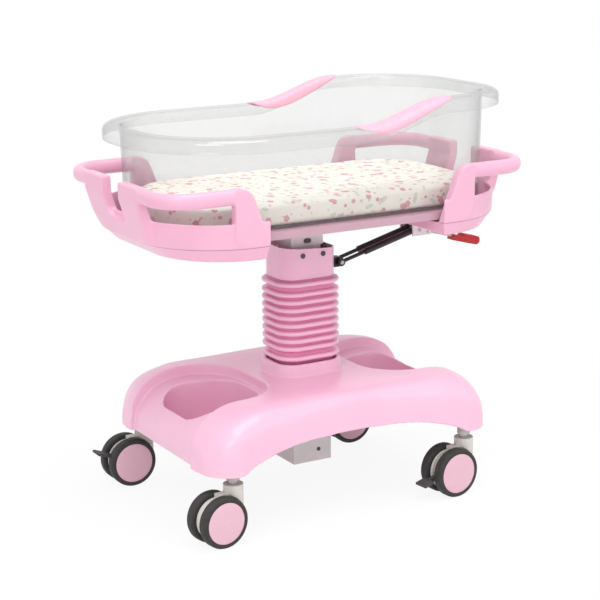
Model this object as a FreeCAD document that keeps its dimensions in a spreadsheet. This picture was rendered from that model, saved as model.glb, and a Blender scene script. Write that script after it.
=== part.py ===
import FreeCAD, Part
import Sketcher
import math
import os
import re
from FreeCAD import Placement, Rotation, Vector

# Hospital bassinet: a clear basin with a mattress, on a tilting bed with two moulded end trays,
# carried by a telescopic column on a moulded base with four twin-wheel casters.
# Millimetres. The origin is on the floor under the column. +X points to the end with the high
# rim and the release lever, +Z points up. A size that starts with "=" follows other sizes.

SIZES = [
    # fits
    ("run_gap", 0.05, "radial clearance of a turning or sliding fit"),
    ("rest_gap", 0.3, "clearance between a loose piece and its seat"),
    # casters
    ("wheel_r", 50.0, "radius of a caster wheel"),
    ("tyre_band", 9.5, "height of the tyre outside the disc cover"),
    ("wheel_w", 21.0, "width of one wheel"),
    ("wheel_inner", 10.4, "from the middle of a caster to the inner face of a wheel"),
    ("wheel_hub_r", 9.0, "radius of a wheel's hub"),
    ("wheel_web_w", 4.0, "thickness of a wheel's web"),
    ("rim_t", 5.0, "thickness of the rim under the tyre"),
    ("disc_t", 2.6, "thickness of a disc cover"),
    ("disc_dome", 1.4, "how far a disc cover bulges"),
    ("disc_edge", 0.4, "how far a disc cover's rim lies inside the tyre"),
    ("tyre_round", 4.5, "rounding of a tyre's shoulders"),
    ("axle_r", 4.0, "radius of a caster axle"),
    ("axle_in", 2.0, "from an axle's end to the disc cover"),
    ("trail", 37.4, "from the swivel axis to the wheel axis"),
    ("housing_r", 19.2, "radius of the swivel housing"),
    ("housing_top", 113.0, "height of the top of the swivel housing"),
    ("web_drop", 14.0, "from the housing's top down to the caster body's web"),
    ("fork_half", 9.0, "half the width of the caster body between the wheels"),
    ("fork_r", 41.0, "radius of the caster body"),
    ("fork_low", 22.0, "height of the bottom of the caster body"),
    ("wheel_clear", 1.5, "clearance of the swivel housing round the wheels"),
    ("slot_half", 4.4, "half the width of the brake slot"),
    ("pedal_gap", 0.4, "clearance of a brake pedal in its slot"),
    ("stem_r", 6.0, "radius of a caster stem"),
    ("collar_r", 9.5, "radius of the collar on a caster stem"),
    ("collar_h", 8.0, "height of the collar on a caster stem with its clearance"),
    ("stem_depth", 36.0, "depth of a stem in the swivel housing"),
    ("stem_room", 2.0, "room under a stem in the swivel housing"),
    ("caster_x", 263.7, "casters from the middle, along X"),
    ("caster_y", 199.0, "casters from the middle, along Y"),
    ("swivel_fl", 7.2, "rest angle of the caster at -X -Y"),
    ("swivel_fr", 5.3, "rest angle of the caster at +X -Y"),
    ("pedal_tip", 74.0, "from the wheel axis to the tip of a brake pedal"),
    ("pad_l", 21.0, "length of a pedal's pad"),
    ("pad_w", 29.0, "width of a pedal's pad"),
    ("pad_t", 6.0, "thickness of a pedal's pad"),
    ("pedal_up", 20.0, "angle of a released pedal above the axle"),
    ("pedal_down", -14.0, "angle of a pressed pedal below the axle"),
    # base cover
    ("base_x", 321.0, "half the length of the base"),
    ("base_y", 231.0, "half the width of the base at the legs"),
    ("base_waist", 204.5, "half the width of the base in the middle"),
    ("corner_x", 58.0, "length of a leg's rounded corner, along X"),
    ("corner_y", 72.0, "length of a leg's rounded corner, along Y"),
    ("leg_gap", 15.0, "from the swivel housings up to the skirt's edge at the legs"),
    ("leg_low", "=housing_top + leg_gap", "height of the skirt's edge at the legs"),
    ("arch_h", 44.0, "height of the arch of the skirt's edge"),
    ("base_h", 122.0, "height of the base's top over the skirt's edge"),
    ("base_top", "=leg_low + base_h", "height of the base's top at the column"),
    ("end_round_x", 106.0, "length of the rounding at the top of the ends"),
    ("end_round_z", 83.0, "height of the rounding at the top of the ends"),
    ("side_round", 27.0, "width of the crown's side rounding in the middle"),
    ("side_round_end", 66.0, "width of the crown's side rounding near the legs"),
    ("leg_round", 90.0, "width of the crown's rounding over the legs"),
    ("leg_round_start", 190.0, "start of the wide rounding over the legs, along X"),
    ("side_fall", 24.0, "height of the crown's side rounding in the middle"),
    ("leg_fall", 53.0, "height of the crown's side rounding at the legs"),
    ("skirt_lean", 2.0, "how far the skirt leans in at its top"),
    ("cover_t", 3.8, "wall of the base cover"),
    ("ledge_in", 112.0, "inner end of the lowered ledge"),
    ("ledge_y", 134.0, "half the width of the ledge"),
    ("ledge_r", 96.0, "corner radius of the ledge's inner end"),
    ("ledge_step", 21.0, "how deep the ledge lies under the crown"),
    ("end_recess", 9.0, "how far the end panel lies behind the legs"),
    ("bin_in", 123.0, "inner end of a storage bin"),
    ("bin_out", 285.0, "outer end of a storage bin"),
    ("bin_y", 105.0, "half the width of a storage bin at its outer end"),
    ("bin_in_y", 70.0, "half the width of a storage bin at its inner end"),
    ("bin_up", 8.0, "a bin's floor over the skirt's edge at the legs"),
    ("bin_floor", "=leg_low + bin_up", "height of a bin's floor"),
    ("bin_round", 52.0, "corner radius of a bin"),
    # base frame
    ("frame_up", 27.0, "the frame tubes' underside over the skirt's edge at the legs"),
    ("frame_low", "=leg_low + frame_up", "height of the frame tubes' underside"),
    ("frame_h", 25.0, "height of a frame tube"),
    ("frame_w", 30.0, "width of a frame tube"),
    ("rail_y", 140.0, "frame rails from the middle"),
    ("cross_x", 62.0, "cross tubes from the middle"),
    ("plate_t", 8.0, "thickness of the column's foot plate"),
    ("plate_y", 85.0, "half the width of the column's foot plate"),
    ("socket_r", 13.0, "radius of a caster socket"),
    ("socket_low", "=housing_top + collar_h", "height of a caster socket's mouth"),
    ("arm_h", 16.0, "height of the arm that carries a caster socket"),
    ("socket_top", "=frame_low + arm_h", "height of the top of a caster socket"),
    ("stem_cap", 6.0, "wall of a socket over its stem"),
    ("stem_top", "=socket_top - stem_cap", "height of the top of a caster stem"),
    ("lift_box", 43.5, "half the side of the lift housing"),
    ("lift_drop", 93.0, "depth of the lift housing under the frame"),
    ("lift_low", "=frame_low - lift_drop", "height of the lift housing's floor"),
    ("sheet_t", 2.5, "thickness of bent sheet"),
    ("lift_screw_r", 4.0, "radius of a screw head on the lift housing"),
    ("lift_screw_h", 3.0, "height of a screw head under the lift housing"),
    ("lift_screw_in", 14.0, "screws of the lift housing from its edges"),
    ("side_screw_h", 1.2, "height of the screw head on the lift housing's side"),
    ("side_screw_up", 24.0, "the side screw over the lift housing's floor"),
    # column
    ("collar_x", 77.0, "half the length of the collar on the base"),
    ("collar_y", 66.0, "half the width of the collar on the base"),
    ("collar_round", 45.0, "corner radius of the collar on the base"),
    ("collar_flare", 3.0, "how far the collar's foot spreads"),
    ("collar_in", 4.5, "how far the collar's rim pulls in"),
    ("collar_foot", 14.0, "depth of the collar's foot in the base cover"),
    ("collar_waist", 6.0, "height of the collar's waist over the base cover"),
    ("collar_up", 25.0, "height of the collar's rim over the base cover"),
    ("collar_top", "=base_top + collar_up", "height of the collar's rim"),
    ("collar_wall", 16.5, "thickness of the collar at its foot"),
    ("bellows_up", 10.0, "the bellows' foot over the base's top"),
    ("bellows_low", "=base_top + bellows_up", "height of the bellows' foot"),
    ("bellows_gap", 2.0, "clearance of the bellows in the collar"),
    ("rib_x", 72.0, "half the length of a bellows rib"),
    ("rib_count", 10.0, "number of bellows ribs"),
    ("rib_up", 11.0, "the lowest rib over the collar's rim"),
    ("rib_low", "=collar_top + rib_up", "height of the lowest rib"),
    ("rib_pitch", 15.8, "spacing of the ribs"),
    ("rib_end_gap", 20.0, "spacing of the first and the last rib"),
    ("rib_t", 8.5, "thickness of a rib"),
    ("bellows_t", 2.0, "wall of the bellows"),
    ("rib_over", 9.4, "from the highest rib to the column cover"),
    ("shroud_x", 62.0, "half the length of the column cover"),
    ("shroud_y", 52.0, "half the width of the column cover"),
    ("shroud_r", 33.0, "corner radius of the column cover"),
    ("shroud_low", "=rib_low + 2 * rib_end_gap + (rib_count - 3) * rib_pitch + rib_over",
     "height of the column cover's lower edge"),
    ("shroud_h", 64.0, "height of the column cover"),
    ("shroud_top", "=shroud_low + shroud_h", "height of the column cover's upper edge"),
    ("shroud_fall", 8.5, "how far the column cover's upper edge falls towards +X"),
    ("shroud_t", 3.0, "wall of the column cover"),
    ("inner_x", 32.0, "half the length of the inner column tube"),
    ("inner_y", 27.0, "half the width of the inner column tube"),
    ("tube_t", 3.0, "wall of a column tube"),
    ("guide_t", 4.5, "thickness of the column's glide bush"),
    ("guide_h", 40.0, "height of the column's glide bush"),
    ("inner_up", 4.0, "the inner tube's foot over the foot plate"),
    ("inner_low", "=frame_low + frame_h + plate_t + inner_up", "height of the inner tube's foot"),
    ("outer_down", 46.0, "from the column cover's lower edge down to the outer tube's top"),
    ("outer_top", "=shroud_low - outer_down", "height of the outer tube's top"),
    ("head_down", 30.0, "from the column cover's upper edge down to the column head"),
    ("head_low", "=shroud_top - head_down", "height of the underside of the column head"),
    ("head_h", 52.0, "height of the column head"),
    ("head_top", "=head_low + head_h", "height of the top of the column head"),
    ("spring_r", 14.0, "radius of the lift spring's cylinder"),
    ("spring_wall", 2.0, "wall of the lift spring's cylinder"),
    ("spring_floor", 3.0, "thickness of the lift spring's floor"),
    ("spring_cap", 9.0, "thickness of the lift spring's floor and cap together"),
    ("spring_h", 235.5, "height of the lift spring's cylinder"),
    ("spring_low", "=lift_low + sheet_t", "height of the lift spring's foot"),
    ("spring_top", "=spring_low + spring_h", "height of the lift spring's top"),
    ("rod_r", 5.0, "radius of the lift spring's rod"),
    ("piston_up", 17.5, "the piston over the lift spring's foot"),
    ("piston_h", 12.0, "height of the piston"),
    # bed tilt
    ("tilt_down", 14.0, "the tilt axis under the top of the column head"),
    ("tilt_z", "=head_top - tilt_down", "height of the tilt axis"),
    ("pin_r", 5.0, "radius of the tilt pin"),
    ("bracket_x", 36.0, "half the length of the bed bracket"),
    ("bracket_down", 10.0, "the bed bracket's lower edge under the tilt axis"),
    ("bracket_low", "=tilt_z - bracket_down", "height of the bed bracket's lower edge"),
    ("bracket_gap", 0.5, "clearance of the bed bracket beside the column head"),
    ("keeper_t", 2.0, "thickness of a keeper on the tilt pin"),
    ("keeper_r", 4.5, "radius of a keeper's ends"),
    ("keeper_half", 3.5, "half the distance of a keeper's ends"),
    ("boss_down", 38.5, "the column cover's screws under the top of the column head"),
    ("boss_z", "=head_top - boss_down", "height of the column cover's screws"),
    ("boss_x", 23.0, "column cover's screws from the middle"),
    ("boss_r", 5.5, "radius of a boss for the column cover's screws"),
    ("screw_r", 3.0, "radius of a cover screw"),
    ("screw_in", 8.0, "depth of a cover screw in its boss"),
    ("screw_head", 1.7, "a cover screw's head, by its radius"),
    ("screw_head_t", 1.5, "thickness of a cover screw's head"),
    ("beam_y", 30.0, "half the width of the bed beam"),
    ("beam_up", 14.0, "the bed beam over the column head"),
    ("beam_low", "=head_top + beam_up", "height of the bed beam's underside"),
    ("beam_h", 22.5, "height of the bed beam"),
    ("beam_start", 250.0, "the bed beam's end towards -X"),
    ("beam_over", 40.0, "how far the bed beam runs past the struts' upper pin"),
    ("cross_at", 228.0, "cross bars of the bed from the middle"),
    ("bar_len", 26.0, "width of a cross bar of the bed"),
    ("bar_gap", 1.0, "clearance of a cross bar in the platform's rail"),
    ("bed_low", "=beam_low + beam_h", "height of the platform's underside"),
    ("bed_h", 14.5, "height of the platform"),
    ("bed_top", "=bed_low + bed_h", "height of the platform's top"),
    ("bed_in_x", 45.0, "the platform's end inside the trays' fold line"),
    ("bed_in_y", 27.0, "the platform's side inside the trays' fold line"),
    ("bed_x", "=fold_x - bed_in_x", "half the length of the platform"),
    ("bed_y", "=fold_y - bed_in_y", "half the width of the platform"),
    ("bed_r", 120.0, "corner radius of the platform"),
    ("rail_t", 14.0, "width of the platform's edge rail"),
    ("stay_w", 6.0, "width of a stiffening rib under the platform"),
    # tilt struts
    ("strut_y", -20.0, "the tilt struts' middle, along Y"),
    ("strut_gap", 13.0, "each tilt strut from their middle"),
    ("low_x", 76.0, "the struts' lower pin, along X"),
    ("low_down", 66.0, "the struts' lower pin under the top of the column head"),
    ("low_z", "=head_top - low_down", "the struts' lower pin, height"),
    ("up_x", 257.0, "the struts' upper pin, along X"),
    ("up_down", 32.0, "the struts' upper pin under the bed beam"),
    ("up_z", "=beam_low - up_down", "the struts' upper pin, height"),
    ("strut_pin_r", 4.0, "radius of a strut pin"),
    ("pin_over", 2.0, "how far the lower strut pin runs past the eyes"),
    ("strut_rod_r", 3.8, "radius of a strut's rod"),
    ("strut_tube_r", 6.5, "radius of a strut's tube"),
    ("eye_r", 8.0, "radius of an eye on a strut"),
    ("eye_w", 8.0, "width of an eye on a strut"),
    ("open_gap", 2.4, "radial clearance of the struts' upper eyes"),
    ("tube_start", 58.0, "from the lower pin to the start of a strut's tube"),
    ("rod_short", 60.0, "from the end of a strut's rod to the upper pin"),
    ("bore_short", 20.0, "from the end of a strut's bore to the upper pin"),
    ("mount_t", 6.0, "thickness of the strut bracket's plate"),
    ("mount_w", 21.0, "width of the strut bracket's plate"),
    ("mount_near", 6.0, "the strut bracket's plate from the struts' middle towards -Y"),
    ("mount_low", 12.0, "the strut bracket's plate under the lower pin"),
    ("mount_down", 10.0, "the strut bracket's plate under the top of the column head"),
    ("tongue_r", 10.0, "radius of the strut bracket's tongue"),
    ("tongue_gap", 0.5, "clearance of the tongue between the eyes"),
    ("slot_w", 22.0, "width of the column cover's slot for the strut bracket"),
    ("slot_up", 14.0, "the slot's top over the lower pin"),
    ("bolt_r", 4.0, "radius of the strut bracket's bolt"),
    ("bolt_l", 20.0, "length of the strut bracket's bolt"),
    ("bolt_in", 14.0, "depth of the bolt in the column head"),
    ("bolt_down", 32.0, "the bolt under the top of the column head"),
    ("bolt_head_r", 7.0, "radius of the bolt's head"),
    ("bolt_head_h", 8.0, "height of the bolt's head"),
    ("yoke_t", 4.0, "wall of the strut yoke"),
    ("yoke_gap", 1.5, "clearance of the struts in their yoke"),
    ("yoke_l", 44.0, "length of the strut yoke"),
    ("yoke_back", 16.0, "the strut yoke behind its pin"),
    ("yoke_down", 12.0, "the strut yoke under its pin"),
    ("pin_end", 1.0, "how far the pins stand out of the strut yoke"),
    # release lever
    ("lever_out", 20.0, "the lever's pin from the struts' upper pin, along X"),
    ("lever_x", "=up_x + lever_out", "the lever's pin, along X"),
    ("lever_up", 6.0, "the lever's pin under the struts' upper pin"),
    ("lever_z", "=up_z - lever_up", "the lever's pin, height"),
    ("lever_pin_r", 3.0, "radius of the lever's pin"),
    ("lever_reach", 141.0, "from the lever's pin to its tip, along X"),
    ("lever_drop", 38.0, "from the lever's pin down to its tip"),
    ("lever_hub_r", 7.0, "radius of the lever's hub"),
    ("lever_w", 12.0, "width of the lever's arm"),
    ("lever_t", 5.0, "thickness of the lever's arm"),
    ("grip_l", 68.0, "length of the red grip"),
    ("grip_h", 18.0, "height of the red grip"),
    ("grip_w", 22.0, "width of the red grip"),
    ("wedge_l", 24.5, "length of the step on top of the red grip"),
    ("wedge_z", 3.4, "height of the step over the grip's middle"),
    # end trays
    ("tray_in", 190.0, "inner edge of a tray, along X"),
    ("tray_in_low", 6.0, "how far the inner edge leans out at the bottom"),
    ("fold_x", 383.0, "half the length over the trays at their fold line"),
    ("fold_y", 230.0, "half the width of a tray"),
    ("fold_r", 165.0, "corner radius of a tray at its fold line"),
    ("tray_down", 6.0, "a tray's underside under the bed beam"),
    ("tray_low", "=beam_low - tray_down", "height of a tray's underside"),
    ("tray_tub", 25.0, "height of a tray under its fold line"),
    ("fold_z", "=tray_low + tray_tub", "height of the fold line"),
    ("tray_low_r", 145.0, "corner radius of a tray's underside"),
    ("tray_taper", 32.0, "how far the end pulls in under the fold line"),
    ("tray_side", 7.0, "how far the sides pull in under the fold line"),
    ("tray_t", 4.0, "wall of a tray"),
    ("sill_h", 47.0, "height of the sill of a handle window over the fold line"),
    ("sill_out", 2.0, "how far the end leans out at the sill"),
    ("bar_x", 408.0, "half the length over the handles"),
    ("bar_out", 1.0, "how far the handles stand out at the sides"),
    ("bar_round", 75.0, "corner radius of a handle's outer side"),
    ("bar_up", 96.0, "the middle of a handle over the fold line"),
    ("bar_z", "=fold_z + bar_up", "height of the middle of a handle"),
    ("bar_w", 23.0, "width of a handle bar"),
    ("bar_h", 30.0, "height of a handle bar"),
    ("bar_sink", 12.0, "how far a handle bar runs into its cheek and its post"),
    ("block_t", 22.0, "thickness of the posts and cheeks"),
    ("cheek_l", 72.0, "length of a cheek"),
    ("cheek_lean", 38.0, "how far the cheek's inner edge leans out"),
    ("cheek_round", 22.0, "length of the rounding at the top of a cheek's inner edge"),
    ("cheek_round_z", 26.0, "height of the rounding at the top of a cheek's inner edge"),
    ("post_out", 118.0, "outer edge of the posts, along Y"),
    ("room_gap", 3.0, "clearance of the bed frame in a tray"),
    ("tray_boss_r", 8.0, "radius of a tray's screw boss"),
    ("fold_step", 3.5, "how far the upper part of a tray stands over the lower"),
    ("notch_y", 37.0, "half the width of the notch between the posts"),
    ("notch_up", 35.0, "the bottom of the notch over the fold line"),
    ("notch_r", 20.0, "corner radius of the notch"),
    ("side_screw_x", 121.0, "a tray's side screws from its fold line, along X"),
    ("side_screw_y", 122.0, "a tray's side screws from the middle, along Y"),
    ("end_screw_x", 85.0, "a tray's end screws from its fold line, along X"),
    ("end_screw_y", 60.0, "a tray's end screws from the middle, along Y"),
    ("tray_head_r", 5.4, "radius of a tray screw's head"),
    ("tray_head_h", 2.5, "height of a tray screw's head"),
    ("tray_screw_end", 1.0, "from a tray screw's tip to the platform's pan"),
    # basin
    ("high_gap", 17.0, "the basin's wall at the high end inside the trays' fold line"),
    ("low_gap", 28.0, "the basin's wall at the low end inside the trays' fold line"),
    ("side_gap", 31.0, "the basin's side walls inside the trays' fold line"),
    ("wall_high_x", "=fold_x - high_gap", "the basin's wall at the high end"),
    ("wall_low_x", "=fold_x - low_gap", "the basin's wall at the low end"),
    ("wall_y", "=fold_y - side_gap", "half the width of the basin's wall"),
    ("wall_low_r", 172.0, "corner radius of the basin at the low end"),
    ("wall_high_r", 140.0, "corner radius of the basin at the high end"),
    ("basin_t", 3.0, "wall of the basin"),
    ("basin_in", 5.0, "how far the basin's floor is smaller than its rim"),
    ("rim_w", 33.0, "width of the basin's rim"),
    ("lip_h", 29.0, "height of the basin's turned-down lip"),
    ("basin_h", 182.0, "height of the low rim over the platform"),
    ("rim_low", "=bed_top + basin_h", "height of the low rim"),
    ("rim_rise", 43.0, "how far the rim rises"),
    ("rim_high", "=rim_low + rim_rise", "height of the high rim"),
    ("rise_start", 25.0, "start of the rim's rise, along X"),
    ("rise_l", 180.0, "length of the rim's rise, along X"),
    ("grip_start", 0.0, "start of a rim grip, along X"),
    ("grip_long", 214.0, "length of a rim grip"),
    ("grip_lean_low", 55.0, "how far a rim grip's lower end leans"),
    ("grip_lean_high", 30.0, "how far a rim grip's upper end leans"),
    ("grip_cut", 8.0, "how far a rim grip's upper end leans at its top"),
    ("grip_hem", 3.0, "how far a rim grip reaches under the lip"),
    ("rim_grip_t", 2.5, "thickness of a rim grip"),
    ("pad_h", 47.4, "thickness of the mattress"),
    ("pad_gap", 8.0, "mattress to basin wall"),
]

doc = FreeCAD.newDocument("bassinet")
sheet = doc.addObject("Spreadsheet::Sheet", "dims")
for row, (alias, value, meaning) in enumerate(SIZES, 1):
    sheet.set("A%d" % row, meaning)
    sheet.set("B%d" % row, str(value))
    sheet.setAlias("B%d" % row, alias)
doc.recompute()
ALIASES = {alias for alias, value, meaning in SIZES}
PARTS = []
X_AXIS, Y_AXIS, Z_AXIS = Vector(1, 0, 0), Vector(0, 1, 0), Vector(0, 0, 1)
AXIS_TURN = {"x": Rotation(Y_AXIS, 90), "y": Rotation(X_AXIS, -90), "z": Rotation()}
BIG = 900.0  # longer than anything here, for cutting tools
OVER = 1.0  # how far a cutting tool runs past a face
CORNERS = ((-1, -1), (1, -1), (-1, 1), (1, 1))

def dim(alias):
    """The value of a cell, as a number."""
    return float(sheet.get(alias))

def link(text):
    """An expression with the sheet's name before each alias."""
    def prefix(found):
        word = found.group(0)
        return "dims." + word if word in ALIASES else word
    return re.sub(r"[a-z_][a-z_0-9]*", prefix, str(text))

def bind(obj, **expressions):
    for prop, text in expressions.items():
        obj.setExpression(prop, link(text))
    return obj

def put(obj, corner, turn=None):
    """Gives an object a placement whose position follows the sheet."""
    obj.Placement = Placement(Vector(), turn or Rotation())
    for axis, text in zip("xyz", corner):
        obj.setExpression("Placement.Base." + axis, link(text))
    return obj

def box(name, lengths, corner):
    obj = doc.addObject("Part::Box", name)
    bind(obj, Length=lengths[0], Width=lengths[1], Height=lengths[2])
    return put(obj, corner)

def rod(name, radius, length, start, axis="z"):
    """A cylinder that starts at a point and runs along an axis."""
    obj = doc.addObject("Part::Cylinder", name)
    bind(obj, Radius=radius, Height=length)
    return put(obj, start, AXIS_TURN[axis])

def fuse(name, *shapes):
    obj = doc.addObject("Part::MultiFuse", name)
    obj.Shapes = list(shapes)
    return obj

def cut(name, base, *tools):
    obj = doc.addObject("Part::Cut", name)
    obj.Base = base
    obj.Tool = tools[0] if len(tools) == 1 else fuse(name + "_tools", *tools)
    return obj

def mirror(name, source, normal):
    obj = doc.addObject("Part::Mirroring", name)
    obj.Source = source
    obj.Normal = normal
    return obj

def group(name, *shapes):
    """Separate solids in one node."""
    obj = doc.addObject("Part::Compound", name)
    obj.Links = list(shapes)
    return obj

def part(label, obj):
    """Marks an object as a sub-part, with the name of its node."""
    obj.Label = label
    PARTS.append(obj)
    return obj

def shaped(name, shape):
    """A sub-part or tool made with Part's own functions."""
    obj = doc.addObject("Part::Feature", name)
    obj.Shape = shape
    return obj

def profile(name, points, start):
    """A closed sketch of straight lines; each corner's place is a pair of expressions."""
    sketch = doc.addObject("Sketcher::SketchObject", name)
    draw_profile(sketch, points, start)
    return sketch

def draw_profile(sketch, points, start):
    """start holds the corners' first places, which the expressions then take over."""
    count = len(points)
    for i in range(count):
        here, there = start[i], start[(i + 1) % count]
        sketch.addGeometry(Part.LineSegment(Vector(here[0], here[1], 0), Vector(there[0], there[1], 0)))
    for i in range(count):
        sketch.addConstraint(Sketcher.Constraint("Coincident", i, 2, (i + 1) % count, 1))
    for i, corner in enumerate(points):
        for kind, text, place in zip(("DistanceX", "DistanceY"), corner, start[i]):
            index = sketch.addConstraint(Sketcher.Constraint(kind, -1, 1, i, 1, place))
            sketch.setExpression("Constraints[%d]" % index, link(text))

def revolve(name, sketch, axis):
    obj = doc.addObject("Part::Revolution", name)
    obj.Source = sketch
    obj.Axis = axis
    obj.Base = Vector()
    obj.Angle = 360
    obj.Solid = True
    return obj

def face_prism(wire, height):
    return Part.Face(wire).extrude(Vector(0, 0, height))

def arc_to(start, end, centre, radius):
    """The short arc of a circle between two points at one height."""
    middle = (start + end) * 0.5 - centre
    middle.normalize()
    return Part.Arc(start, centre + middle * radius, end).toShape()

def rounded(half_x, half_y, radius, z, low_x=None, low_radius=None):
    """A closed outline: a rectangle with round corners, whose -X end may differ."""
    left = half_x if low_x is None else low_x
    left_r = radius if low_radius is None else low_radius
    corners = [
        (Vector(half_x - radius, half_y, z), Vector(half_x, half_y - radius, z), 1, 1, radius),
        (Vector(half_x, radius - half_y, z), Vector(half_x - radius, -half_y, z), 1, -1, radius),
        (Vector(left_r - left, -half_y, z), Vector(-left, left_r - half_y, z), -1, -1, left_r),
        (Vector(-left, half_y - left_r, z), Vector(left_r - left, half_y, z), -1, 1, left_r),
    ]
    edges = []
    for i, (start, end, side_x, side_y, turn_r) in enumerate(corners):
        reach = half_x if side_x > 0 else left
        centre = Vector(side_x * (reach - turn_r), side_y * (half_y - turn_r), z)
        edges.append(arc_to(start, end, centre, turn_r))
        following = corners[(i + 1) % 4][0]
        edges.append(Part.LineSegment(end, following).toShape())
    return Part.Wire(edges)

def side_prism(points, half_y):
    """A solid between two planes across Y, from corners in X and Z."""
    wire = Part.makePolygon([Vector(x, -half_y, z) for x, z in points + points[:1]])
    return Part.Face(wire).extrude(Vector(0, 2 * half_y, 0))

def smooth_step(x, start, end):
    """0 before start, 1 after end and smooth between them."""
    share = min(1.0, max(0.0, (x - start) / (end - start)))
    return share * share * (3 - 2 * share)

# ---------------------------------------------------------------- casters

def pair(name, piece):
    """A piece of the wheel at -Y and its twin at +Y."""
    twin = mirror(name + "_twin", piece, Y_AXIS)
    return group(name, piece, twin)

def caster(tag, sign_x, sign_y, turn, brake=None):
    """One twin-wheel caster. Its swivel axis is Z and its wheels trail towards -X."""
    x = "caster_x" if sign_x > 0 else "-caster_x"
    y = "caster_y" if sign_y > 0 else "-caster_y"
    place = (x, y, "0")
    rotation = Rotation(Z_AXIS, turn)

    housing = rod(tag + "_housing", "housing_r", "housing_top - wheel_r", ("0", "0", "wheel_r"))
    body = rod(tag + "_body", "fork_r", "fork_half * 2", ("-trail", "-fork_half", "wheel_r"), "y")
    web = box(tag + "_web",
              ("trail + housing_r * 0.7", "fork_half * 2", "housing_top - wheel_r - web_drop"),
              ("-trail", "-fork_half", "wheel_r"))
    solid = fuse(tag + "_solid", housing, body, web)
    clear_r = "wheel_r + wheel_clear"
    room_near = rod(tag + "_room_near", clear_r, "housing_r",
                    ("-trail", "-fork_half - housing_r", "wheel_r"), "y")
    room_far = rod(tag + "_room_far", clear_r, "housing_r", ("-trail", "fork_half", "wheel_r"), "y")
    bore = rod(tag + "_stem_bore", "stem_r + run_gap", "housing_top",
               ("0", "0", "housing_top - stem_depth - stem_room"))
    hole = rod(tag + "_axle_hole", "axle_r", "fork_half * 4", ("-trail", "-fork_half * 2", "wheel_r"), "y")
    under = box(tag + "_under", ("fork_r * 3", "fork_half * 4", "fork_low"),
                ("-trail - fork_r", "-fork_half * 2", "0"))
    tools = [room_near, room_far, bore, hole, under]
    if brake:
        tools.append(box(tag + "_slot", ("fork_r + 1", "slot_half * 2", "fork_r * 2"),
                         ("-trail - fork_r - 1", "-slot_half", "wheel_r - fork_r")))
        tools.append(rod(tag + "_slot_end", "wheel_hub_r + 1", "slot_half * 2",
                         ("-trail", "-slot_half", "wheel_r"), "y"))
    fork = cut(tag + "_fork", solid, *tools)
    put(fork, place, rotation)
    part(tag + "_fork", fork)

    axle = rod(tag + "_axle_bar", "axle_r", "(wheel_inner + wheel_w - disc_t - axle_in) * 2",
               ("-trail", "-(wheel_inner + wheel_w - disc_t - axle_in)", "wheel_r"), "y")
    seat = group(tag + "_axle_set", axle)
    put(seat, place, rotation)
    part(tag + "_axle", seat)

    tyre = profile(tag + "_wheel_profile", [
        ("axle_r + run_gap", "-wheel_inner"),
        ("wheel_hub_r", "-wheel_inner"),
        ("wheel_hub_r", "-wheel_inner - wheel_web_w / 2"),
        ("wheel_r - tyre_band - rim_t", "-wheel_inner - wheel_web_w / 2"),
        ("wheel_r - tyre_band - rim_t", "-wheel_inner"),
        ("wheel_r - tyre_round", "-wheel_inner"),
        ("wheel_r - tyre_round * 0.3", "-wheel_inner - tyre_round * 0.3"),
        ("wheel_r", "-wheel_inner - tyre_round"),
        ("wheel_r", "-wheel_inner - wheel_w + tyre_round"),
        ("wheel_r - tyre_round * 0.3", "-wheel_inner - wheel_w + tyre_round * 0.3"),
        ("wheel_r - tyre_round", "-wheel_inner - wheel_w"),
        ("wheel_r - tyre_band", "-wheel_inner - wheel_w"),
        ("wheel_r - tyre_band", "-wheel_inner - wheel_w + disc_t"),
        ("wheel_r - tyre_band - rim_t", "-wheel_inner - wheel_w + disc_t"),
        ("wheel_r - tyre_band - rim_t", "-wheel_inner - wheel_web_w * 1.5"),
        ("wheel_hub_r", "-wheel_inner - wheel_web_w * 1.5"),
        ("wheel_hub_r", "-wheel_inner - wheel_w + disc_t"),
        ("axle_r + run_gap", "-wheel_inner - wheel_w + disc_t"),
    ], [
        (4, -10), (9, -10), (9, -12), (35, -12), (35, -10), (45, -10), (49, -12), (50, -15),
        (50, -27), (49, -30), (45, -31), (40, -31), (40, -29), (35, -29), (35, -16), (9, -16),
        (9, -29), (4, -29),
    ])
    tyre_solid = revolve(tag + "_wheel_solid", tyre, Y_AXIS)
    wheels = pair(tag + "_wheels", tyre_solid)
    put(wheels, ("%s - trail * cos(%r)" % (x, turn), "%s - trail * sin(%r)" % (y, turn), "wheel_r"),
        rotation)
    part(tag + "_wheels", wheels)

    disc = profile(tag + "_disc_profile", [
        ("0", "-wheel_inner - wheel_w + disc_t"),
        ("wheel_r - tyre_band", "-wheel_inner - wheel_w + disc_t"),
        ("wheel_r - tyre_band", "-wheel_inner - wheel_w + disc_edge"),
        ("(wheel_r - tyre_band) * 0.97", "-wheel_inner - wheel_w - disc_dome * 0.1"),
        ("(wheel_r - tyre_band) * 0.86", "-wheel_inner - wheel_w - disc_dome * 0.5"),
        ("(wheel_r - tyre_band) * 0.6", "-wheel_inner - wheel_w - disc_dome * 0.85"),
        ("(wheel_r - tyre_band) * 0.3", "-wheel_inner - wheel_w - disc_dome * 0.98"),
        ("0", "-wheel_inner - wheel_w - disc_dome"),
    ], [(0, -28), (40, -28), (40, -31), (39, -31.5), (34, -32), (24, -32.3), (12, -32.6), (0, -33)])
    disc_solid = revolve(tag + "_disc_solid", disc, Y_AXIS)
    discs = pair(tag + "_discs", disc_solid)
    put(discs, ("%s - trail * cos(%r)" % (x, turn), "%s - trail * sin(%r)" % (y, turn), "wheel_r"),
        rotation)
    part(tag + "_wheel_covers", discs)

    if brake:
        pedal(tag, x, y, turn, brake)

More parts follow.
